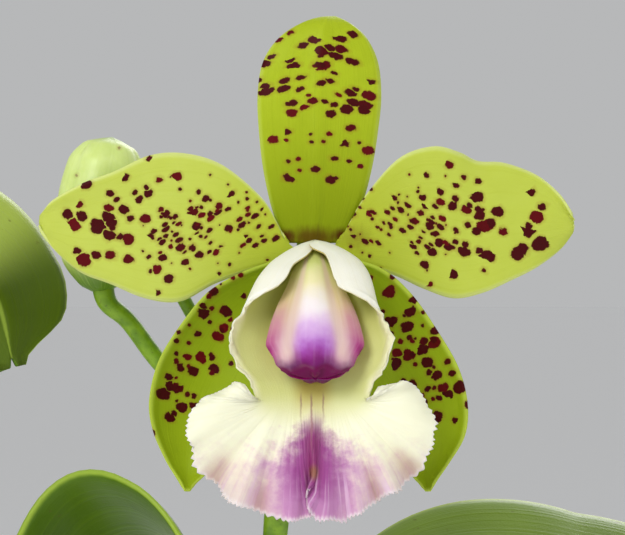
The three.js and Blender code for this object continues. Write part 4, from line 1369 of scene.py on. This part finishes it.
spathe = sheet("papery_floral_sheath", 40, 40, floral_sheath, 0.7)
shown(
    spathe, "sheath", "floral_sheath",
    finish=dry_finish("floral_sheath_paper", colour(176, 170, 108), colour(136, 124, 70)),
)

# %% [markdown]
# ## Rhizome and roots
# The runner creeps over the bark in short joints, and its roots dive into the bark or climb over
# the rim. A root is coated with velamen, a silvery sponge that soaks up rain, and its growing
# tip is bare and green. The tubes are remeshed into one skin, because this is one grown piece.

# %% Rhizome and roots
POT_HEIGHT = 108
POT_RIM_RADIUS = 63.5
RHIZOME_RADIUS = 4.6
ROOT_RADIUS = 2.2
OVER_RIM = POT_HEIGHT + ROOT_RADIUS + 0.6
OUTSIDE = POT_RIM_RADIUS + ROOT_RADIUS + 0.8


def around(degrees, radius, z):
    angle = math.radians(degrees)
    return (radius * math.cos(angle), radius * math.sin(angle), z)


RUNNERS = [
    [(42, 30, 94), (30, 22, 95), (8, 12, 96), (-6, -3, 96), (-8, -24, 97)],
    [(6, 12, 96), (-14, 13, 96), (-34, 6, 96)],
]
ROOTS = [
    [(-8, -20, 96), around(232, 42, 98), around(229, 57, OVER_RIM - 1), around(228, 64, OVER_RIM),
     around(227, OUTSIDE + 1, POT_HEIGHT - 8), around(225, OUTSIDE, 78), around(221, OUTSIDE - 3, 58)],
    [(30, 21, 96), around(14, 44, 98), around(10, 57, OVER_RIM - 1), around(9, 64, OVER_RIM),
     around(7, OUTSIDE + 1, POT_HEIGHT - 8), around(5, OUTSIDE, 84), around(8, OUTSIDE - 1, 70)],
    [(-4, -10, 97), (12, -20, 99), (26, -30, 98), (34, -27, 80)],
    [(8, 10, 96), (24, -4, 99), (37, -8, 98), (42, -12, 80)],
    [(-28, 7, 97), (-33, -10, 99), (-38, -18, 97), (-39, -20, 79)],
    [(-12, 13, 96), (-14, 30, 99), (-20, 38, 98), (-27, 36, 79)],
    [(20, 18, 96), (12, 33, 99), (14, 42, 97), (13, 43, 79)],
    [(-8, -22, 97), (3, -34, 99), (3, -42, 97), (-3, -43, 79)],
]


def runner_radius(s, angle):
    return RHIZOME_RADIUS * (0.86 + 0.14 * math.cos(s * 24) + 0.04 * math.cos(s * 96))


def root_radius(seed):
    def radius(s, angle):
        tip = 1 - 4 * (s - 0.9) if s > 0.9 else 1
        return ROOT_RADIUS * tip * (1 + 0.1 * noise.noise((9 * s, math.sin(angle), seed)))

    return radius


pieces = [rolled("runner", Line(points), runner_radius, 80, 30) for points in RUNNERS]
pieces += [rolled("root", Line(points), root_radius(i), 90, 20) for i, points in enumerate(ROOTS)]
roots = remeshed(joined("rhizome_and_roots", pieces), 0.75, 2)


def root_finish():
    skin = Finish("velamen", 0.8)
    place = skin.place()
    x, y, z = skin.parts(place)
    grain = skin.clouds(place, 0.8, 5)
    skin.base = skin.mix(skin.step(grain, 0.3, 0.7), colour(206, 204, 188), colour(158, 156, 132))
    damp = skin.step(skin.clouds(place, 0.09, 3), 0.5, 0.7)
    skin.coat(damp, colour(126, 136, 88), 0.6)
    out = skin.add("CombineXYZ", {0: x, 1: y, 2: 0.0})
    out = skin.add("VectorMath", {0: out}, 1, operation="LENGTH")
    tips = skin.times(skin.step(out, 60, 63), skin.step(z, 72, 62))
    skin.coat(tips, colour(120, 152, 60))
    wood = skin.times(skin.step(out, 46, 40), skin.step(grain, 0.2, 0.6))
    skin.coat(wood, colour(112, 92, 58), 0.55)
    return skin.done(skin.bump(grain, 0.25, 0.6))


shown(roots, "root", "rhizome_roots", finish=root_finish())

# %% [markdown]
# ## Bark
# Orchids are potted in chips of fir bark, which let air and water through. Five chips are modelled,
# each a block with bevelled, bitten corners, and scattered as their own copies over a plain core.
# They lie flat more often than not, and below the top of the bed the chips and the core are painted darker
# as shade.

# %% Bark chips
BARK_TOP = 90
CHIP_SHAPES = 5
CHIP_COUNT = 300
CHIP_REACH = 51
CORE_DEPTH = 8
CORE_FOOT = 7.5
CORE_RADII = (38.5, 54.5)
GOLDEN_ANGLE = math.radians(137.5)
draw = random.Random(4)


def chip(seed):
    piece = made(bpy.ops.mesh.primitive_cube_add, "chip_mould", size=MM)
    edited(bpy.ops.mesh.subdivide, number_cuts=1)
    for vertex in piece.data.vertices:
        here = vertex.co / MM
        bite = 1 + 0.32 * noise.noise(here * 2.1 + Vector((seed, 0, 0)))
        vertex.co = here * bite * MM
    bevel = piece.modifiers.new("worn_edges", "BEVEL")
    bevel.width = 0.07 * MM
    bevel.segments = 1
    bevel.limit_method = "NONE"
    apply_all(piece)
    return piece


moulds = [chip(3.7 * i) for i in range(CHIP_SHAPES)]
heap = []
for i in range(CHIP_COUNT):
    mould = moulds[i % len(moulds)]
    piece = mould.copy()
    piece.data = mould.data.copy()
    bpy.context.collection.objects.link(piece)
    reach = CHIP_REACH * math.sqrt((i + 0.5) / CHIP_COUNT)
    size = (draw.uniform(8, 16), draw.uniform(6, 10), draw.uniform(3, 5.5))
    turn = Matrix.Rotation(draw.uniform(0, 2 * math.pi), 4, "Z")
    lean = Matrix.Rotation(draw.gauss(0, 0.28), 4, "X") @ Matrix.Rotation(draw.gauss(0, 0.28), 4, "Y")
    place = Vector((
        reach * math.cos(i * GOLDEN_ANGLE), reach * math.sin(i * GOLDEN_ANGLE),
        BARK_TOP + draw.uniform(-1.5, 2.6),
    ))
    shape = Matrix.Diagonal((*size, 1))
    piece.data.transform(Matrix.Translation(place * MM) @ lean @ turn @ shape)
    heap.append(piece)
for mould in moulds:
    bpy.data.objects.remove(mould)

core_height = BARK_TOP - CORE_DEPTH
core = made(
    bpy.ops.mesh.primitive_cone_add, "bark_core",
    vertices=96, radius1=CORE_RADII[0] * MM, radius2=CORE_RADII[1] * MM, depth=core_height * MM,
    location=(0, 0, (CORE_FOOT + core_height / 2) * MM),
)
bpy.ops.object.transform_apply()
edited(bpy.ops.mesh.bevel, offset=2 * MM, segments=3)
bark = joined("bark_chips", [core, *heap])


def bark_finish():
    skin = Finish("fir_bark", 0.9)
    place = skin.place()
    _, _, z = skin.parts(place)
    layers = skin.clouds(skin.place(scale=(1, 0.4, 2.2), turn=(0.3, 0.2, 0.5)), 0.5, 5)
    patches = skin.clouds(place, 0.11, 3)
    skin.base = skin.mix(skin.step(layers, 0.3, 0.7), colour(70, 40, 24), colour(132, 84, 50))
    skin.coat(skin.step(patches, 0.5, 0.68), colour(158, 112, 76))
    skin.coat(skin.step(patches, 0.42, 0.3), colour(42, 26, 18), 0.7)
    # Painted shade: below the top of the bed the chips and the core turn near black.
    skin.coat(skin.step(z, BARK_TOP + 1, BARK_TOP - 4), colour(30, 18, 12))
    return skin.done(skin.bump(layers, 0.6, 0.8))


shown(bark, "bark", "bark_medium", finish=bark_finish())

# %% [markdown]
# ## The pot
# A plain thrown clay pot: a tapered wall, a thick rim band and holes round the middle of the
# floor. The wall's outline is drawn as a chain of points and spun round the axis, and the drain
# holes are cut out afterwards. Shallow throwing rings and a pale bloom of lime finish it.

# %% Pot
POT_FOOT_RADIUS = 44.5
POT_WALL = 5
POT_FLOOR = 7
RIM_BAND = 24
POT_STEPS = 128
DRAIN_RADIUS = 5.5
DRAIN_CIRCLE = 25
band_foot = POT_HEIGHT - RIM_BAND
inner_top = POT_RIM_RADIUS - POT_WALL
inner_foot = POT_FOOT_RADIUS - POT_WALL
corners = [
    (0, 0), (POT_FOOT_RADIUS - 2, 0), (POT_FOOT_RADIUS - 0.5, 0.5), (POT_FOOT_RADIUS, 2),
    (POT_RIM_RADIUS - 6, band_foot - 1), (POT_RIM_RADIUS - 5.6, band_foot),
    (POT_RIM_RADIUS - 3, band_foot), (POT_RIM_RADIUS - 2, band_foot + 1),
    (POT_RIM_RADIUS, POT_HEIGHT - 2.5), (POT_RIM_RADIUS - 0.4, POT_HEIGHT - 0.7),
    (POT_RIM_RADIUS - 1.6, POT_HEIGHT), (inner_top + 1.6, POT_HEIGHT),
    (inner_top + 0.4, POT_HEIGHT - 0.7), (inner_top, POT_HEIGHT - 2), (inner_foot + 2, POT_FLOOR + 2),
    (inner_foot, POT_FLOOR), (0, POT_FLOOR),
]
outline_points = []
for (r0, z0), (r1, z1) in zip(corners, corners[1:]):
    pieces_here = max(1, round(math.hypot(r1 - r0, z1 - z0) / 2.5))
    for k in range(pieces_here):
        outline_points.append((r0 + (r1 - r0) * k / pieces_here, z0 + (z1 - z0) * k / pieces_here))
outline_points.append(corners[-1])

pot = made(bpy.ops.mesh.primitive_plane_add, "clay_pot", size=MM)
edited(bpy.ops.mesh.merge, type="CENTER")
pot.data.vertices[0].co = (0, 0, 0)
for (r0, z0), (r1, z1) in zip(outline_points, outline_points[1:]):
    bpy.ops.object.mode_set(mode="EDIT")
    bpy.ops.mesh.extrude_region_move(
        TRANSFORM_OT_translate={"value": ((r1 - r0) * MM, 0, (z1 - z0) * MM)}
    )
    bpy.ops.object.mode_set(mode="OBJECT")
spun = {"steps": POT_STEPS, "angle": 2 * math.pi, "center": (0, 0, 0), "axis": (0, 0, 1)}
edited(bpy.ops.mesh.spin, **spun)
sew(pot)
for vertex in pot.data.vertices:
    here = vertex.co / MM
    radius = math.hypot(here.x, here.y)
    if radius > inner_foot + 1 and 6 < here.z < POT_HEIGHT - 4:
        rings = 0.12 * math.sin(here.z * 1.1) + 0.1 * noise.noise((here.z * 0.3, 4, 4))
        share = (radius + rings) / radius
        vertex.co.x *= share
        vertex.co.y *= share
for i in range(3):
    place = Vector(around(90 + 120 * i, DRAIN_CIRCLE, POT_FLOOR / 2)) * MM
    drill = made(
        bpy.ops.mesh.primitive_cylinder_add, "drill",
        vertices=32, radius=DRAIN_RADIUS * MM, depth=4 * POT_FLOOR * MM, location=place,
    )
    hole = pot.modifiers.new("drain_hole", "BOOLEAN")
    hole.object = drill
    hole.operation = "DIFFERENCE"
    apply_all(pot)
    bpy.data.objects.remove(drill)
bpy.ops.object.select_all(action="DESELECT")
pot.select_set(True)
bpy.context.view_layer.objects.active = pot
bpy.ops.object.shade_smooth_by_angle(angle=math.radians(40))


def clay_finish():
    skin = Finish("terracotta", 0.85)
    place = skin.place()
    _, _, z = skin.parts(place)
    rings = skin.clouds(skin.place(scale=(0.05, 0.05, 1)), 0.9, 3)
    grit = skin.clouds(place, 2.2, 4)
    broad = skin.clouds(place, 0.03, 4)
    skin.base = skin.mix(broad, colour(176, 98, 64), colour(198, 124, 86))
    skin.coat(skin.step(rings, 0.4, 0.7), colour(150, 82, 54), 0.3)
    lime = skin.times(skin.step(skin.clouds(place, 0.05, 6, 0.65), 0.5, 0.68), skin.step(z, 100, 20))
    skin.coat(lime, colour(222, 204, 184), 0.55)
    specks = skin.step(grit, 0.66, 0.72)
    skin.coat(specks, colour(110, 62, 42), 0.4)
    skin.coat(skin.step(z, 14, 1), colour(112, 84, 54), 0.35)
    normal = skin.bump(rings, 0.2, 0.5, skin.bump(grit, 0.12, 0.6))
    return skin.done(normal)


shown(pot, "terracotta", "pot", finish=clay_finish())
